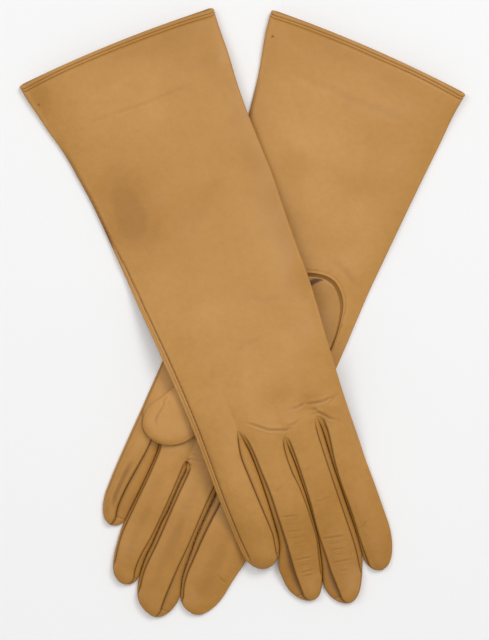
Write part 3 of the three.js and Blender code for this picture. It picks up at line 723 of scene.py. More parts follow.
def add_node(tree, kind, settings=None, **links):
    """Adds one node. A link's name is the socket's, with _ for a space, or inN for socket N."""
    made = tree.nodes.new("ShaderNode" + kind)
    for name, value in (settings or {}).items():
        setattr(made, name, value)
    for name, value in links.items():
        is_number = name.startswith("in") and name[2:].isdigit()
        socket = made.inputs[int(name[2:]) if is_number else name.replace("_", " ")]
        if isinstance(value, bpy.types.NodeSocket):
            tree.links.new(value, socket)
        else:
            socket.default_value = value
    return made


def per_metre(millimetres):
    """The scale of a noise whose features are that many millimetres across."""
    return 1000.0 / millimetres


def start_material(name):
    material = bpy.data.materials.new(name)
    material.use_nodes = True
    tree = material.node_tree
    shader = tree.nodes["Principled BSDF"]
    place = add_node(tree, "TexCoord").outputs["Object"]
    return material, tree, shader, place


def nappa(name, colours, deep):
    """Dyed lambskin nappa, drummed soft and finished with a thin satin coat: a warm colour with
    slow changes of depth, pores too fine to see one by one, and a soft wide highlight. Its
    colour also carries painted shade and painted sheen in broad patches, and, mixed towards the
    deep colour, the dark thread of its seams and painted shade in grooves, creases, slits and
    pockets."""
    material, tree, shader, place = start_material(name)
    mottle = add_node(tree, "TexNoise", Vector=place, Scale=per_metre(30), Detail=4.0,
                      Roughness=0.55, Distortion=0.4)
    # painted shade and painted sheen on the skin; with the dye's slow mottle they pick the colour
    drawn = add_node(tree, "Attribute", {"attribute_name": "shade_and_sheen"})
    slow = add_node(tree, "MapRange", Value=mottle.outputs["Fac"], From_Min=0.3, From_Max=0.7,
                    To_Min=0.42, To_Max=0.58)
    depth = add_node(tree, "Math", {"operation": "MULTIPLY_ADD"}, in0=drawn.outputs["Fac"],
                     in1=-0.4, in2=slow.outputs["Result"])
    tint = add_node(tree, "ValToRGB", Fac=depth.outputs["Value"])
    tint.color_ramp.interpolation = "EASE"
    stops = tint.color_ramp.elements
    stops[0].position, stops[0].color = 0.1, linear(colours[0])
    stops[1].position, stops[1].color = 0.7, linear(colours[3])
    stops.new(0.3).color = linear(colours[1])
    stops.new(0.5).color = linear(colours[2])
    fine = add_node(tree, "TexNoise", Vector=place, Scale=per_metre(3.5), Detail=4.0,
                    Roughness=0.65)
    speck = add_node(tree, "MapRange", Value=fine.outputs["Fac"], From_Min=0.3, From_Max=0.7,
                     To_Min=0.955, To_Max=1.045)
    speckled_tint = add_node(tree, "MixRGB", {"blend_type": "MULTIPLY"}, Fac=1.0,
                     Color1=tint.outputs["Color"], Color2=speck.outputs["Result"])
    # darkness from the seams' thread, and painted shade in grooves, creases, slits and pockets
    seam_and_shade = add_node(tree, "Attribute", {"attribute_name": "dark"})
    seamed_and_shaded = add_node(tree, "MixRGB", Fac=seam_and_shade.outputs["Fac"], Color1=speckled_tint.outputs["Color"],
                      Color2=linear(deep))
    tree.links.new(seamed_and_shaded.outputs["Color"], shader.inputs["Base Color"])
    gloss = add_node(tree, "MapRange", Value=fine.outputs["Fac"], From_Min=0.3, From_Max=0.7,
                     To_Min=0.43, To_Max=0.53)
    tree.links.new(gloss.outputs["Result"], shader.inputs["Roughness"])
    # pores are about 0.2 mm apart on lambskin, drawn at 0.6 mm so that they show
    pores = add_node(tree, "TexVoronoi", Vector=place, Scale=per_metre(0.6))
    folds = add_node(tree, "TexNoise", Vector=place, Scale=per_metre(2.2), Detail=5.0,
                     Roughness=0.6, Distortion=0.6)
    slack_folds = add_node(tree, "TexNoise", Vector=place, Scale=per_metre(11), Detail=3.0,
                           Roughness=0.5, Distortion=0.8)
    pore_bump = add_node(tree, "Bump", Height=pores.outputs["Distance"], Strength=0.25,
                         Distance=0.00006)
    fold_bump = add_node(tree, "Bump", Height=folds.outputs["Fac"], Strength=0.35,
                         Distance=0.00022, Normal=pore_bump.outputs["Normal"])
    slack_bump = add_node(tree, "Bump", Height=slack_folds.outputs["Fac"], Strength=0.35,
                          Distance=0.0009, Normal=fold_bump.outputs["Normal"])
    tree.links.new(slack_bump.outputs["Normal"], shader.inputs["Normal"])
    shader.inputs["Specular IOR Level"].default_value = 0.35
    return material


def suede(name, dark, light):
    """The flesh side of the skin, shaved and unfinished: matt, napped and a little pinker."""
    material, tree, shader, place = start_material(name)
    nap = add_node(tree, "TexNoise", Vector=place, Scale=per_metre(1.2), Detail=6.0,
                   Roughness=0.7)
    tint = add_node(tree, "ValToRGB", Fac=nap.outputs["Fac"])
    tint.color_ramp.elements[0].position = 0.3
    tint.color_ramp.elements[0].color = linear(dark)
    tint.color_ramp.elements[1].position = 0.7
    tint.color_ramp.elements[1].color = linear(light)
    tree.links.new(tint.outputs["Color"], shader.inputs["Base Color"])
    bump = add_node(tree, "Bump", Height=nap.outputs["Fac"], Strength=0.5, Distance=0.0002)
    tree.links.new(bump.outputs["Normal"], shader.inputs["Normal"])
    shader.inputs["Roughness"].default_value = 0.9
    shader.inputs["Specular IOR Level"].default_value = 0.2
    shader.inputs["Sheen Weight"].default_value = 0.3
    return material


def silk_thread(name, dark, light):
    """Twisted silk sewing thread, dyed near the skin: fine slanting plies with a low shine."""
    material, tree, shader, place = start_material(name)
    plies = add_node(tree, "TexWave", {"bands_direction": "DIAGONAL"}, Vector=place,
                     Scale=per_metre(0.35) / 6.28, Distortion=0.5)
    tint = add_node(tree, "ValToRGB", Fac=plies.outputs["Fac"])
    tint.color_ramp.elements[0].color = linear(dark)
    tint.color_ramp.elements[1].color = linear(light)
    tree.links.new(tint.outputs["Color"], shader.inputs["Base Color"])
    bump = add_node(tree, "Bump", Height=plies.outputs["Fac"], Strength=0.4, Distance=0.00005)
    tree.links.new(bump.outputs["Normal"], shader.inputs["Normal"])
    shader.inputs["Roughness"].default_value = 0.5
    return material


# each from the darkest to the lightest, picked by the dye's mottle and by painted shade and
# painted sheen, then the colour of a seam's thread and of painted shade in grooves and creases
outer_nappa = nappa("tan_nappa_lambskin", ["#a5732f", "#b07d39", "#b98643", "#c28e4b"], "#5a360e")
# the fourchettes: a darker, more saturated copy of the same nappa, as painted shade for the slits
# they lie in
shaded_side_nappa = nappa("tan_nappa_fourchettes_shaded", ["#a06e29", "#aa7732", "#b4803b", "#bc8843"],
                   "#5a360e")
flesh_side = suede("lambskin_flesh_side", "#9c7143", "#b38658")
sewing_silk = silk_thread("brown_sewing_silk", "#7a4c1c", "#a8702f")

# ---- one glove ---------------------------------------------------------------------------------

JOINTS = {joint["child"]: joint for joint in frame["joints"]}


def bend_with(piece, child, toward):
    """Finds which way child's fold runs on the table, pointing towards toward, and bakes the
    piece's place into its mesh; the piece itself is not bent.
    """
    axis = Vector(JOINTS[child]["axis"])
    along = axis.cross(Vector((0, 0, 1))).normalized()
    if along.dot(toward) < 0:
        along = -along
    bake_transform(piece)


def heading(glove, start, along):
    """The direction on the table of a line in a glove's own frame."""
    end = [s + 100 * a for s, a in zip(start, along)]
    return Vector((*to_table(glove, *end), 0)) - Vector((*to_table(glove, *start), 0))


def groove_at(distance):
    """Dip of the skin at a seam, and how dark it is there: the thread's own colour, with painted
    shade in the groove.
    """
    dip = np.exp(-(distance / GROOVE_WIDTH) ** 2)
    ridge = np.exp(-((np.abs(distance) - 3 * GROOVE_WIDTH) / (1.5 * GROOVE_WIDTH)) ** 2)
    return SEAM_RIDGE * ridge - GROOVE_DEPTH * dip, SEAM_DARK * dip


def edge_total(x):
    return mix(CUFF_EDGE_TOTAL, EDGE_TOTAL, ease(x, -ARM, -ARM + CUFF_ZONE))


def open_hand(x, share):
    """Thickness of the flat hand and arm at a share of its width."""
    low = edge_total(x)
    height = mix(HAND_TOTAL, CUFF_TOTAL, ease(-x, ARM - MOUTH, ARM))
    return low + (height - low) * (1 - np.abs(2 * share - 1) ** 4)


def cuff_x(share):
    return -ARM - CUFF_BOW * (1 - (2 * share - 1) ** 2)


def root_corners(glove, plan, is_top):
    near, far = glove["roots"]
    between = [x for x, _ in glove["crotches"]] if is_top else glove["under_crotches"]
    xs = [near, *between, far]
    corners = []
    for k, x in enumerate(xs):
        if k in (0, 4):
            inward = 1 if k == 0 else -1
            corners.append((x, float(plan["edges"][k // 4](x)) + inward * EDGE_TOTAL / 2))
        elif is_top:
            corners.append(tuple(glove["crotches"][k - 1]))
        else:
            left = plan["fingers"][k - 1]["sides"][1]["base"](x)
            right = plan["fingers"][k]["sides"][0]["base"](x)
            corners.append((x, float(left + right) / 2))
    return corners


class GloveShape:
    """The surface of one glove lying on bed, as arrays of points in the table's frame."""

    def __init__(self, glove, bed):
        self.glove = glove
        self.bed = bed
        self.plan = plan_of(glove)
        self.inset = line(glove["seam_inset"])

    def floor(self, x, y):
        return self.bed(*to_table(self.glove, x, y))

    def surface(self, x, y, total, has_hole=True):
        """Height of the upper skin, and its darkness: painted shade in creases, and the side
        seam's thread with painted shade in its groove.
        """
        rise, dark = relief(self.glove, x, y)
        inside = y - self.plan["edges"][0](x)
        from_seam = inside - self.inset(x)
        dip, seam_dark = groove_at(from_seam)
        ridge = SIDE_RIDGE * np.exp(-((from_seam + SIDE_RIDGE_AT) / SIDE_RIDGE_WIDTH) ** 2)
        ridge = ridge * ease(self.inset(x), *SIDE_RIDGE_INSET)
        tip_x = self.glove["fingers"][0]["tip"][0]
        on_pinky = 1 - ease(x, *[tip_x - back for back in SIDE_SEAM_FADE])
        rise = rise + (dip + ridge) * on_pinky
        dark = dark + seam_dark * on_pinky
        if has_hole and self.glove["name"] == "left":
            rise = rise + self.thumb_recess(x, y)
        return self.floor(x, y) + total + rise, dark

    def thumb_recess(self, x, y):
        """The palm falls away under the thumb's heel, which lies sunk in its hole."""
        d, e = thumb_frame_of(x, y)
        left, right = thumb_outline(d)
        away, _ = distance_to(THUMB_HOLE, d, e)
        is_inside = (d > THUMB_HEEL[0]) & (e > left) & (e < right)
        away = np.where(is_inside, 0.0, away / rim_width(e))
        return -RECESS_DEPTH * ease(-away, *[-out for out in RECESS_EDGE]) * hole_depth(d)

    def flat_between(self, x):
        """The y where the flat skin starts and ends, inside the two rounded edges."""
        half = edge_total(x) / 2
        return self.plan["edges"][0](x) + half, self.plan["edges"][1](x) - half

    def palm_at(self, x, y):
        """The height of the palm at any place behind the fingers, with no thumb hole in it."""
        near, far = self.flat_between(x)
        share = np.clip((y - near) / (far - near), 0, 1)
        return self.surface(x, y, open_hand(x, share), has_hole=False)[0]

    def hand(self):
        """Rows of closed rings from the hem to the finger roots."""
        a = np.linspace(0, 1, HAND_ROWS + 1)[:, None]
        a = a + ROW_CROWDING * a * (1 - a)
        return self.ring_at(a, HEM_START)

    def ring_at(self, a, start):
        """Rings at shares a of the way from start, a distance from the cuff edge, to the roots."""
        plan = self.plan
        layers = []
        for is_top in (True, False):
            corners = root_corners(self.glove, plan, is_top)
            xs, ys, vs, ks = [], [], [], []
            for k in range(4):
                (x0, y0), (x1, y1) = corners[k], corners[k + 1]
                shares = shares_across(k)[:-1]
                xs += list(mix(x0, x1, shares))
                ys += list(mix(y0, y1, shares))
                vs += list(shares)
                ks += [k] * len(shares)
            xs, ys = np.array(xs + [corners[4][0]]), np.array(ys + [corners[4][1]])
            vs, ks = np.array(vs + [1.0]), np.array(ks + [3])
            even = np.linspace(0, 1, len(xs))
            x_start = cuff_x(even) + start - (0 if is_top else FAR_LIP)
            x = mix(x_start, xs, a)
            near, far = self.flat_between(x)
            near_root = plan["edges"][0](xs) + EDGE_TOTAL / 2
            far_root = plan["edges"][1](xs) - EDGE_TOTAL / 2
            root_share = (ys - near_root) / (far_root - near_root)
            share = mix(even, root_share, ease(a, 0, 1))
            y = mix(near, far, share)
            if is_top:
                root_total = np.zeros(len(xs))
                for k in range(4):
                    own = ks == k
                    root_total[own] = finger_top(k, vs[own], 0.0)
                swell = ease(x, xs - KNUCKLE, xs)
                total = mix(open_hand(x, share), root_total, swell)
                z, dark = self.surface(x, y, total)
            else:
                z, dark = self.floor(x, y), np.zeros(np.shape(x))
            layers.append((x, y, z, dark))
        (tx, ty, tz, top_dark), (bx, by, bz, _) = layers
        left = side_run((tx[:, 0], ty[:, 0], tz[:, 0]), (bx[:, 0], by[:, 0], bz[:, 0]),
                        plan["edges"][0]((tx[:, 0] + bx[:, 0]) / 2), True)
        right = side_run((tx[:, -1], ty[:, -1], tz[:, -1]), (bx[:, -1], by[:, -1], bz[:, -1]),
                         plan["edges"][1]((tx[:, -1] + bx[:, -1]) / 2), True)
        x, y, z = join_ring(left, (tx, ty, tz), right, (bx, by, bz))
        dark = np.zeros(np.shape(x))
        dark[:, SIDE:SIDE + 4 * STRIP + 1] = top_dark
        dark[:, :SIDE] = top_dark[:, :1] * np.linspace(EDGE_SHADE, 1, SIDE)
        return self.placed(x, y, z), dark

    def placed(self, x, y, z):
        return on_table(self.glove, x, y, z)

    def finger(self, k):
        """Rows of closed rings from the root of finger k to its tip."""
        glove, plan = self.glove, self.plan
        finger = plan["fingers"][k]
        tip_x = finger["tip"][0]
        top_corners = root_corners(glove, plan, True)
        under_corners = root_corners(glove, plan, False)
        root_x = (top_corners[k][0] + top_corners[k + 1][0]) / 2
        row_x = np.concatenate([
            np.linspace(root_x, tip_x - TIP_ZONE, FINGER_ROWS, endpoint=False),
            tip_x - TIP_ZONE + TIP_ZONE * np.sin(np.linspace(0, np.pi / 2, TIP_ROWS)),
        ])
        fade = np.clip(1 - (row_x - root_x) / (ROOT_SPREAD * (tip_x - root_x)), 0, 1) ** 2
        along = np.clip((row_x - root_x) / (tip_x - root_x), 0, 1)
        squash = np.sqrt(1 - np.clip((row_x - (tip_x - TIP_ROUNDING)) / TIP_ROUNDING, 0, 1) ** 2)
        v = shares_across(k)
        corner_x = {}
        corner_y = {}
        for hand in (0, 1):
            side = finger["sides"][hand]
            inward = 1 if hand == 0 else -1
            at_top = top_corners[k + hand]
            at_under = under_corners[k + hand]
            xt = row_x + (at_top[0] - root_x) * fade
            xb = row_x + (at_under[0] - root_x) * fade
            yt = seam(finger, hand, xt)
            step_in = EDGE_TOTAL / 2
            if not side["outer"]:
                step_in = UNDER_STEP_IN * ease(xb - at_under[0], 0, UNDER_STEP_RUN)
            yb = outline(finger, hand, xb) + inward * step_in * closing(xb, tip_x, side["cap"])
            yt[0], yb[0] = at_top[1], at_under[1]
            corner_x[hand], corner_y[hand] = (xt, xb), (yt, yb)
        x = mix(corner_x[0][0][:, None], corner_x[1][0][:, None], v)
        y = mix(corner_y[0][0][:, None], corner_y[1][0][:, None], v)
        total = finger_top(k, v[None, :], along[:, None])
        total = mix(WALL_TOTAL / 2, total, squash[:, None])
        z, dark = self.surface(x, y, total)
        for hand in (0, 1):
            if not finger["sides"][hand]["outer"]:
                from_seam = np.abs(y - corner_y[hand][0][:, None])
                dip, seam_dark = groove_at(from_seam)
                held = ease(row_x - root_x, 0, SEAM_START)[:, None]
                z, dark = z + dip * held, dark + seam_dark * held
        bottom_x = mix(corner_x[0][1][:, None], corner_x[1][1][:, None], v)
        bottom_y = mix(corner_y[0][1][:, None], corner_y[1][1][:, None], v)
        bottom_z = self.floor(bottom_x, bottom_y) + WALL_TOTAL / 2 * (1 - squash[:, None])
        runs = []
        for hand, end in ((0, 0), (1, -1)):
            mid_x = (corner_x[hand][0] + corner_x[hand][1]) / 2
            out = outline(finger, hand, mid_x)
            out[0] = (corner_y[hand][0][0] + corner_y[hand][1][0]) / 2
            runs.append(side_run((x[:, end], y[:, end], z[:, end]),
                                 (bottom_x[:, end], bottom_y[:, end], bottom_z[:, end]),
                                 out, finger["sides"][hand]["outer"]))
        ring = join_ring(runs[0], (x, y, z), runs[1], (bottom_x, bottom_y, bottom_z))
        ring_dark = np.zeros(np.shape(ring[0]))
        ring_dark[:, SIDE:SIDE + STRIP + 1] = dark
        down = (np.arange(SIDE) / SIDE) ** SIDE_CROWDING
        at_seam = np.exp(-(down / SEAM_SHADE) ** 2)
        for hand in (0, 1):
            neighbour = k + 2 * hand - 1
            crevice = np.zeros((len(row_x), 1))
            if 0 <= neighbour < 4:
                reach = min(tip_x, plan["fingers"][neighbour]["tip"][0])
                crevice = 1 - ease(row_x, *[reach - back for back in SLIT_END])[:, None]
            low, high, depth = SLIT_SHADES[hand]
            side_dark = at_seam * dark[:, -hand:][:, :1] + depth * crevice * ease(down, low, high)
            if hand == 0:
                ring_dark[:, :SIDE] = side_dark[:, ::-1]
            else:
                ring_dark[:, SIDE + STRIP:2 * SIDE + STRIP] = side_dark
        return self.placed(*ring), ring_dark


def thumb_frame_of(x, y):
    dx, dy = x - THUMB_ROOT[0], y - THUMB_ROOT[1]
    return (dx * THUMB_ALONG[0] + dy * THUMB_ALONG[1],
            dy * THUMB_ALONG[0] - dx * THUMB_ALONG[1])


THUMB_LEFT_LINE, THUMB_RIGHT_LINE = line(THUMB_LEFT), line(THUMB_RIGHT)


def hole_depth(d):
    """1 at the thumb's heel, falling to 0 where the thumb leaves the palm."""
    return 1 - ease(d, *HOLE_FADE)


def rim_width(e):
    """The groove round the thumb's heel is narrower on the side of the fingers."""
    return 1 - RIM_NARROWING * ease(e, *RIM_NARROWS)


def place_on_thumb(d, e):
    return (THUMB_ROOT[0] + d * THUMB_ALONG[0] - e * THUMB_ALONG[1],
            THUMB_ROOT[1] + d * THUMB_ALONG[1] + e * THUMB_ALONG[0])


def thumb_outline(d):
    """The left and right edges of the thumb at d, drawn together at its heel and its tip."""
    edges = []
    for base, cap, heel_cap in ((THUMB_LEFT_LINE, THUMB_CAPS[0], THUMB_HEEL_CAPS[0]),
                                (THUMB_RIGHT_LINE, THUMB_CAPS[1], THUMB_HEEL_CAPS[1])):
        e = THUMB_TIP[1] + (base(d) - THUMB_TIP[1]) * closing(d, THUMB_TIP[0], cap)
        opening = np.sqrt(np.clip((d - THUMB_HEEL[0]) / heel_cap, 0, 1))
        edges.append(THUMB_HEEL[1] + (e - THUMB_HEEL[1]) * opening)
    return edges


def round_the_heel(count):
    """The edge of the thumb hole, d and e, from the thumb's right side round to its left."""
    run = THUMB_HEEL[0] + (RIM_REACH - THUMB_HEEL[0]) * np.linspace(0, 1, count) ** 2
    left, right = thumb_outline(run)
    return np.concatenate([run[::-1], run[1:]]), np.concatenate([right[::-1], left[1:]])


THUMB_HOLE = [*zip(*round_the_heel(HOLE_STEPS))]


def thumb_rings(glove, bed, is_sunk):
    """Rings along the thumb. A sunk heel lies level with the palm that it is sewn into."""
    start, end = THUMB_HEEL[0], THUMB_TIP[0]
    d = start + (end - start) * np.concatenate([
        (1 - np.cos(np.linspace(0, np.pi / 2, HEEL_ROWS, endpoint=False))) * THUMB_HEEL_SHARE,
        np.linspace(THUMB_HEEL_SHARE, THUMB_TIP_SHARE, THUMB_ROWS, endpoint=False),
        mix(THUMB_TIP_SHARE, 1, np.sin(np.linspace(0, np.pi / 2, TIP_ROWS))),
    ])
    left, right = thumb_outline(d)
    inset = np.minimum(THUMB_INSET, (right - left) / 2 * 0.98)
    v = spread_over(THUMB_COLUMNS)
    e = mix((left + inset)[:, None], (right - inset)[:, None], v)
    dd = np.broadcast_to(d[:, None], e.shape)
    squash = np.sqrt(1 - np.clip((d - (end - TIP_ROUNDING)) / TIP_ROUNDING, 0, 1) ** 2)
    out_of_heel = ease(d, *HEEL_RISE) if is_sunk else np.ones_like(d)
    total = mix(HEEL_TOTAL, THUMB_TOTAL, out_of_heel)[:, None]
    total = total * mix(THUMB_EDGE_SHARE, 1, 1 - (2 * v - 1) ** 4)
    total = mix(THUMB_TIP_TOTAL, total, squash[:, None])

    x, y = place_on_thumb(dd, e)
    sink = (-HEEL_SINK * (1 - out_of_heel))[:, None] if is_sunk else 0.0
    base = bed(*to_table(glove, x, y)) + sink
    fold = np.zeros(e.shape)
    for points, depth in THUMB_WRINKLES:
        near, share = distance_to(points, dd, e)
        fade = fade_at_ends(share)
        fold += depth * fade * (np.exp(-(near / THUMB_WRINKLE_WIDTH) ** 2)
                                - 0.5 * np.exp(-((near - WRINKLE_SIDE) / WRINKLE_SIDE_WIDTH) ** 2))
    waves = slack(glove, x * THUMB_WAVES, y * THUMB_WAVES) * THUMB_SLACK * out_of_heel[:, None]
    # painted shade in the thumb's wrinkles
    dark = 0.6 * np.maximum(fold, 0)
    if is_sunk:
        near, _ = distance_to(POCKET, dd, e)
        from_fold, _ = distance_to(POCKET_FOLD, dd, e)
        lip = np.exp(-(from_fold / LIP_WIDTH) ** 2)
        fold += POCKET_DEPTH * np.exp(-(near / POCKET_WIDTH) ** 2) * (1 - lip) - FOLD_LIP * lip
        dark += POCKET_DARK * np.exp(-(near / POCKET_SHADE) ** 4) * (1 - lip)
        # the right glove's painted shadow on the sunk heel
        dark += HEEL_DARK * (1 - out_of_heel[:, None])
    z = base + total - fold + waves * squash[:, None]
    bottom_z = base + 0.9 * (1 - squash[:, None])
    ring = []
    for edge_e, end_col in ((left, 0), (right, -1)):
        run_d, run_e, run_z = side_run(
            (d, e[:, end_col], z[:, end_col]), (d, e[:, end_col], bottom_z[:, end_col]),
            edge_e, True)
        ring.append((*place_on_thumb(run_d, run_e), run_z))
    joined = join_ring(ring[0], (x, y, z), ring[1], (x, y, bottom_z))
    ring_dark = np.zeros(np.shape(joined[0]))
    ring_dark[:, SIDE:SIDE + dark.shape[1]] = dark
    return on_table(glove, *joined), ring_dark


# the rim's section: distance out from the thumb, and height over the palm
RIM_SECTION = [(3.4, 0.04), (3.0, 0.12), (2.6, 0.28), (2.25, 0.34), (1.95, 0.24), (1.75, -0.02),
               (1.45, -0.5), (0.9, -0.85), (0.3, -0.95), (-0.3, -1.25)]
RIM_DARK, RIM_SHADE = 0.5, (1.9, 1.5)  # its shade, and how far out that begins and is full
RIM_THICKNESS, THUMB_THICKNESS = 0.4, 0.5


def make_hole_rim(shape, name):
    """The turned edge of the palm round the thumb's heel, standing over a narrow groove."""
    d, e = round_the_heel(RIM_ROWS)
    along = np.gradient(np.stack([d, e], axis=-1), axis=0)
    along /= np.linalg.norm(along, axis=1)[:, None]
    out_d, out_e = along[:, 1], -along[:, 0]
    facing = np.sign(out_d * (d - HOLE_MIDDLE) + out_e * e)
    out_d, out_e = out_d * facing, out_e * facing
    us, heights = np.array(RIM_SECTION).T
    wide = rim_width(e)[:, None]
    dd = d[:, None] + out_d[:, None] * us * wide
    ee = e[:, None] + out_e[:, None] * us * wide
    x, y = place_on_thumb(dd, ee)
    z = shape.palm_at(x, y) + heights * hole_depth(d)[:, None]
    shade = RIM_DARK * ease(-us, *[-out for out in RIM_SHADE])
    dark = np.broadcast_to(shade, x.shape) * hole_depth(d)[:, None]
    keep = np.ones((x.shape[0] - 1, x.shape[1] - 1), bool)
    return skin_piece(name, shape.glove, shape.placed(x, y, z), dark, keep,
                      [outer_nappa, flesh_side], RIM_THICKNESS)


HEM_START = 3.7  # cuff edge to the sewn groove behind the hem
# the hem's section: distance from the cuff edge, and height over the outer skin
HEM_SECTION = [(3.7, -0.45), (3.35, -0.05), (2.8, 0.16), (2.35, 0.02), (2.0, -0.32), (1.7, 0.0),
               (1.2, 0.14), (0.65, 0.02), (0.22, -0.34), (0.0, -0.85), (0.12, -1.3),
               (0.5, -1.65), (1.2, -1.8), (3.5, -1.85), (6.0, -1.8), (6.4, -1.45), (6.0, -1.1),
               (4.6, -1.0)]
HEM_GROOVES = (3.7, 2.0)
# painted shade in the hem's two grooves, and on the lower layer's edge that shows past the upper
# one
HEM_GROOVE_DARK, HEM_UNDER_DARK = 0.75, 0.4
HEM_UNDER_SHOWN = 2  # how much of the lower layer's cuff edge is shaded
STITCH_PITCH, STITCH_LENGTH, STITCH_THICKNESS, STITCH_SINK = 2.0, 1.35, 0.42, 0.28
SIDE_THREAD_START = 6  # from the cuff edge
SIDE_THREAD_STEPS = 260
SIDE_THREAD_RADIUS, SIDE_THREAD_LIFT, SIDE_THREAD_ANGLES = 0.19, 0.08, 9
PINKY_REACH = 18  # width over which the little finger's thickness is read beside the seam
TACK_AT = (13.0, 4.4)  # from the cuff edge, and in from the little finger's edge
TACK_STITCHES = ((0.2, 0.0), (1.1, 0.18), (2.2, -0.12))  # each stitch's turn and shift
TACK_LENGTH, TACK_THICKNESS, TACK_LIFT = 1.5, 0.5, 0.15


def ring_normals(points, further):
    """Outward directions of a ring of points, with the ring a little further up the arm."""
    around = np.roll(points, -1, axis=0) - np.roll(points, 1, axis=0)
    normal = np.cross(further - points, around)
    return normal / np.linalg.norm(normal, axis=1)[:, None]


def cuff_ring(shape, distance):
    """The glove's ring at a distance from the cuff edge, without its doubled last point."""
    points, _ = shape.ring_at(np.zeros((1, 1)), distance)
    return points[0, :-1]


def make_hem(shape, name):
    rows, darks = [], []
    for distance, height in HEM_SECTION + HEM_SECTION[:1]:
        ring = cuff_ring(shape, distance)
        normal = ring_normals(ring, cuff_ring(shape, distance + 1.0))
        row = ring + normal * height
        rows.append(np.concatenate([row, row[:1]]))
        in_groove = HEM_GROOVE_DARK if distance in HEM_GROOVES else 0.0
        shown_below = HEM_UNDER_DARK if distance < HEM_UNDER_SHOWN else 0.0
        row_dark = np.full(len(row) + 1, in_groove)
        row_dark[2 * SIDE + 4 * STRIP:] = max(in_groove, shown_below)
        darks.append(row_dark)
    bm = drawn_grid(np.array(rows), np.array(darks), shape.glove)
    bmesh.ops.remove_doubles(bm, verts=bm.verts[:], dist=1e-6)
    if bm.calc_volume(signed=True) < 0:
        bmesh.ops.reverse_faces(bm, faces=bm.faces[:])
    return new_mesh_object(name, bm, [outer_nappa])


def add_stitch(bm, centre, direction, up, length, thickness):
    """One stitch: a rounded grain of thread."""
    across = np.cross(up, direction)
    turn = Matrix((direction, across / np.linalg.norm(across), up)).transposed().to_4x4()
    size = Matrix.Diagonal((length / 2 * MM, thickness / 2 * MM, thickness / 2 * MM, 1))
    place = Matrix.Translation(Vector(centre) * MM)
    bmesh.ops.create_uvsphere(bm, u_segments=8, v_segments=5, radius=1.0,
                              matrix=place @ turn @ size)


def make_hem_thread(shape, name):
    ring = cuff_ring(shape, HEM_START)
    normal = ring_normals(ring, cuff_ring(shape, HEM_START + 1.0))
    loop = np.concatenate([ring, ring[:1]])
    steps = np.linalg.norm(np.diff(loop, axis=0), axis=1)
    passed = np.concatenate([[0], np.cumsum(steps)])
    count = int(passed[-1] / STITCH_PITCH)
    bm = bmesh.new()
    for number in range(count):
        at = passed[-1] * (number + 0.5) / count
        k = int(np.searchsorted(passed, at)) - 1
        share = (at - passed[k]) / steps[k]
        direction = (loop[k + 1] - loop[k]) / steps[k]
        up = normal[k % len(ring)]
        up = up - direction * np.dot(up, direction)
        up /= np.linalg.norm(up)
        centre = mix(loop[k], loop[k + 1], share) - up * STITCH_SINK
        add_stitch(bm, centre, direction, up, STITCH_LENGTH, STITCH_THICKNESS)
    return new_mesh_object(name, bm, [sewing_silk])


def make_side_thread(shape, name):
    """The side seam's thread, lying in its groove from the hem to the little finger."""
    x = np.linspace(-ARM + SIDE_THREAD_START, shape.glove["thread_end"], SIDE_THREAD_STEPS)
    y = shape.plan["edges"][0](x) + shape.inset(x)
    half = edge_total(x) / 2
    near, far = shape.flat_between(x)
    share = np.clip((y - near) / (far - near), 0, 1)
    root = shape.glove["roots"][0]
    v = np.clip((y - near) / PINKY_REACH, 0, 1)
    along = np.clip((x - root) / (shape.glove["fingers"][0]["tip"][0] - root), 0, 1)
    total = mix(open_hand(x, share), finger_top(0, v, along), ease(x, root - KNUCKLE, root))
    z, _ = shape.surface(x, y, total)
    on_bend = np.sqrt(np.clip(1 - ((near - y) / half) ** 2, 0, 1))
    z = np.where(y < near, z - (1 - on_bend) * half, z)
    path = shape.placed(x, y, z + SIDE_THREAD_LIFT)
    tangent = np.gradient(path, axis=0)
    tangent /= np.linalg.norm(tangent, axis=1)[:, None]
    side = np.cross(tangent, [0, 0, 1])
    side /= np.linalg.norm(side, axis=1)[:, None]
    up = np.cross(side, tangent)
    angles = np.linspace(0, 2 * np.pi, SIDE_THREAD_ANGLES)[None, :, None]
    rounds = path[:, None] + SIDE_THREAD_RADIUS * (np.cos(angles) * side[:, None]
                                                   + np.sin(angles) * up[:, None])
    bm = drawn_grid(rounds, np.zeros(rounds.shape[:2]))
    bmesh.ops.remove_doubles(bm, verts=bm.verts[:], dist=1e-7)
    ends = [edge for edge in bm.edges if edge.is_boundary]
    bmesh.ops.holes_fill(bm, edges=ends, sides=0)
    if bm.calc_volume(signed=True) < 0:
        bmesh.ops.reverse_faces(bm, faces=bm.faces[:])
    return new_mesh_object(name, bm, [sewing_silk])


def make_tack(shape, name):
    """The crossed stitches near the cuff that once held the pair together."""
    x = np.array([-ARM + TACK_AT[0]])
    y = shape.plan["edges"][0](x) + TACK_AT[1]
    near, far = shape.flat_between(x)
    z, _ = shape.surface(x, y, open_hand(x, (y - near) / (far - near)))
    centre = shape.placed(x, y, z + TACK_LIFT)[0]
    bm = bmesh.new()
    for angle, shift in TACK_STITCHES:
        direction = np.array([math.cos(angle), math.sin(angle), 0.0])
        across = np.array([-direction[1], direction[0], 0.0])
        add_stitch(bm, centre + across * shift, direction, np.array([0.0, 0.0, 1.0]),
                   TACK_LENGTH, TACK_THICKNESS)
    return new_mesh_object(name, bm, [sewing_silk])


def join_rows(hand_points, first, points, own, count):
    """The hand's last row and a finger's first become one run of points, lit as one surface."""
    shared = hand_points[-1, first:first + count]
    remember_normals(hand_points[-2, first:first + count], shared, points[1, own:own + count])
    points[0, own:own + count] = shared


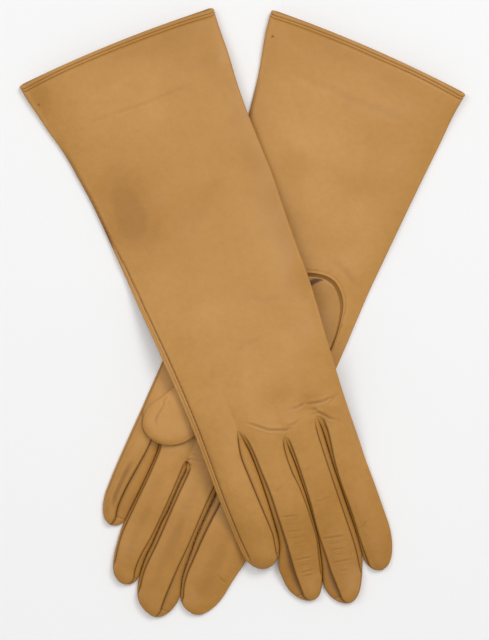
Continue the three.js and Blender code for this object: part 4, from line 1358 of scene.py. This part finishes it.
def make_glove(glove, bed):
    shape = GloveShape(glove, bed)
    name = glove["name"]
    body = f"{name}_glove"
    hand_points, hand_dark = shape.hand()
    rings = [shape.finger(k) for k in range(4)]
    far_side = SIDE + 4 * STRIP
    # over the knuckles and under them, then down the hand's two outer sides
    for k, (points, _) in enumerate(rings):
        join_rows(hand_points, SIDE + k * STRIP, points, SIDE, STRIP + 1)
        join_rows(hand_points, far_side + SIDE + (3 - k) * STRIP, points, 2 * SIDE + STRIP,
                  STRIP + 1)
    join_rows(hand_points, 0, rings[0][0], 0, SIDE + 1)
    join_rows(hand_points, far_side, rings[3][0], SIDE + STRIP, SIDE + 1)
    hand_points[:, -1] = hand_points[:, 0]
    keep = np.ones((hand_points.shape[0] - 1, hand_points.shape[1] - 1), bool)
    trank = skin_piece(f"{name}_trank", glove, hand_points, hand_dark, keep,
                       [outer_nappa, flesh_side])
    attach(trank, body)
    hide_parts(f"{name}_back_panel", f"{name}_palm_panel")
    tops = [hand_points[:, SIDE:SIDE + 4 * STRIP + 1].reshape(-1, 3)]
    towards = heading(glove, (0, 0), (1, 0))
    for k, (points, dark) in enumerate(rings):
        finger = FINGERS[k]
        points[:, -1] = points[:, 0]
        points[-1] = points[-1].mean(axis=0)
        rows, columns = points.shape[0] - 1, points.shape[1] - 1
        row, column = np.meshgrid(np.arange(rows), np.arange(columns), indexing="ij")
        before_tip = row < rows - TIP_ROWS + STRIP_TIP_ROWS
        sides = {
            "near": (column < SIDE) & before_tip,
            "far": (column >= SIDE + STRIP) & (column < 2 * SIDE + STRIP) & before_tip,
        }
        skin_faces = np.ones((rows, columns), bool)
        if k > 0:
            skin_faces &= ~sides["near"]
        if k < 3:
            skin_faces &= ~sides["far"]
        sleeve = skin_piece(f"{name}_{finger}_skin", glove, points, dark, skin_faces,
                            [outer_nappa, flesh_side])
        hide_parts(f"{name}_{finger}_back", f"{name}_{finger}_palm")
        bend_with(sleeve, f"{name}_{finger}", towards)
        for which, has_it in (("near", k > 0), ("far", k < 3)):
            if not has_it:
                continue
            strip = skin_piece(f"{name}_{finger}_{which}_fourchette", glove, points, dark,
                               sides[which], [shaded_side_nappa, flesh_side])
            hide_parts(f"{name}_{finger}_{which}_strip")
            if which == "far":
                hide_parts(f"{name}_{finger}_{FINGERS[k + 1]}_fourchette")
            bend_with(strip, f"{name}_{finger}", towards)
        tops.append(points[:, SIDE:SIDE + STRIP + 1].reshape(-1, 3))
    hem = make_hem(shape, f"{name}_turned_hem")
    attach(hem, body)
    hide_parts(f"{name}_back_hem", f"{name}_palm_hem")
    hem_thread = make_hem_thread(shape, f"{name}_hem_stitches")
    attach(hem_thread, body)
    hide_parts(f"{name}_hem_thread")
    side_thread = make_side_thread(shape, f"{name}_side_seam_silk")
    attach(side_thread, body)
    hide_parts(f"{name}_side_seam_thread")
    tack = make_tack(shape, f"{name}_tack")
    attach(tack, body)
    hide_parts(f"{name}_pairing_tack")
    return np.concatenate(tops)


def make_thumb(glove, bed, is_sunk):
    """The thumb folded over the palm; a sunk one shows its heel and the rim of its hole."""
    name = glove["name"]
    points, dark = thumb_rings(glove, bed, is_sunk)
    points[:, -1] = points[:, 0]
    points[0] = points[0].mean(axis=0)
    points[-1] = points[-1].mean(axis=0)
    keep = np.ones((points.shape[0] - 1, points.shape[1] - 1), bool)
    thumb = skin_piece(f"{name}_thumb", glove, points, dark, keep, [outer_nappa, flesh_side],
                       THUMB_THICKNESS)
    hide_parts(f"{name}_thumb_outer", f"{name}_thumb_inner")
    if is_sunk:
        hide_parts(f"{name}_thumb_end_outer", f"{name}_thumb_end_inner")
        towards = heading(glove, THUMB_ROOT, THUMB_ALONG)
        bend_with(thumb, f"{name}_thumb_end", towards)
        rim = make_hole_rim(GloveShape(glove, table_top), f"{name}_thumb_hole_edge")
        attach(rim, f"{name}_glove")
    else:
        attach(thumb, f"{name}_glove")
    return points[:, SIDE:SIDE + THUMB_COLUMNS + 1].reshape(-1, 3)


BEND_RADIUS = 120.0  # of a glove draped over what lies under it
THUMB_BEND_RADIUS = 60.0

table_top = bed_over(np.zeros((0, 3)), BEND_RADIUS)
left_top = make_glove(LEFT, table_top)
left_thumb_top = make_thumb(LEFT, bed_over(left_top, THUMB_BEND_RADIUS), True)
below_right = np.concatenate([left_top, left_thumb_top])
right_thumb_top = make_thumb(RIGHT, bed_over(below_right, BEND_RADIUS), False)
make_glove(RIGHT, bed_over(np.concatenate([below_right, right_thumb_top]), BEND_RADIUS))

# ---- table, light and camera -------------------------------------------------------------------

FLOOR_HALF = 3.0
ROOM_LIGHT = 0.39
FLOOR_DROP = 0.0003  # keeps the table clear of the skins that lie on it
VIEW_CENTRE = (0.00138, -0.0046)
VIEW_HEIGHT = 0.352  # what the long side of the frame takes in
VIEW_LEVEL = 0.006  # at this height over the table
LENS, SENSOR = 120.0, 36.0

floor_bm = bmesh.new()
bmesh.ops.create_grid(floor_bm, x_segments=1, y_segments=1, size=FLOOR_HALF)
floor_material, floor_tree, floor_shader, floor_place = start_material("pale_matt_table")
grit = add_node(floor_tree, "TexNoise", Vector=floor_place, Scale=per_metre(1.0), Detail=2.0)
floor_tint = add_node(floor_tree, "ValToRGB", Fac=grit.outputs["Fac"])
floor_tint.color_ramp.elements[0].color = linear("#f3f3f3")
floor_tint.color_ramp.elements[1].color = linear("#f5f5f5")
floor_tree.links.new(floor_tint.outputs["Color"], floor_shader.inputs["Base Color"])
floor_shader.inputs["Roughness"].default_value = 0.9
floor_shader.inputs["Specular IOR Level"].default_value = 0.1
floor = new_mesh_object("table", floor_bm, [floor_material])
floor.data.transform(Matrix.Translation((0, 0, -FLOOR_DROP)))

world = bpy.data.worlds.new("soft_room")
world.use_nodes = True
world.node_tree.nodes["Background"].inputs["Color"].default_value = linear("#ffffff")
world.node_tree.nodes["Background"].inputs["Strength"].default_value = ROOM_LIGHT
bpy.context.scene.world = world


def soft_box(name, place, size, power, aim=(0, 0, 0)):
    light = bpy.data.lights.new(name, "AREA")
    light.shape = "SQUARE"
    light.size = size
    light.energy = power
    lamp = bpy.data.objects.new(name, light)
    lamp.location = place
    lamp.rotation_mode = "QUATERNION"
    lamp.rotation_quaternion = (Vector(aim) - Vector(place)).to_track_quat("-Z", "Y")
    bpy.context.scene.collection.objects.link(lamp)


soft_box("window_side", (1.1, 1.3, 2.2), 1.2, 31.0)
soft_box("far_window", (-1.3, 0.7, 2.0), 1.2, 12.0)
soft_box("overhead", (0.1, 0.1, 3.0), 2.0, 18.0)

camera_data = bpy.data.cameras.new("copy_stand")
camera_data.lens = LENS
camera_data.sensor_width = SENSOR
camera_data.clip_start, camera_data.clip_end = 0.05, 20
camera = bpy.data.objects.new("copy_stand", camera_data)
camera.location = (*VIEW_CENTRE, VIEW_HEIGHT * LENS / SENSOR + VIEW_LEVEL)
bpy.context.scene.collection.objects.link(camera)
bpy.context.scene.camera = camera
bpy.context.scene.view_settings.view_transform = "Standard"
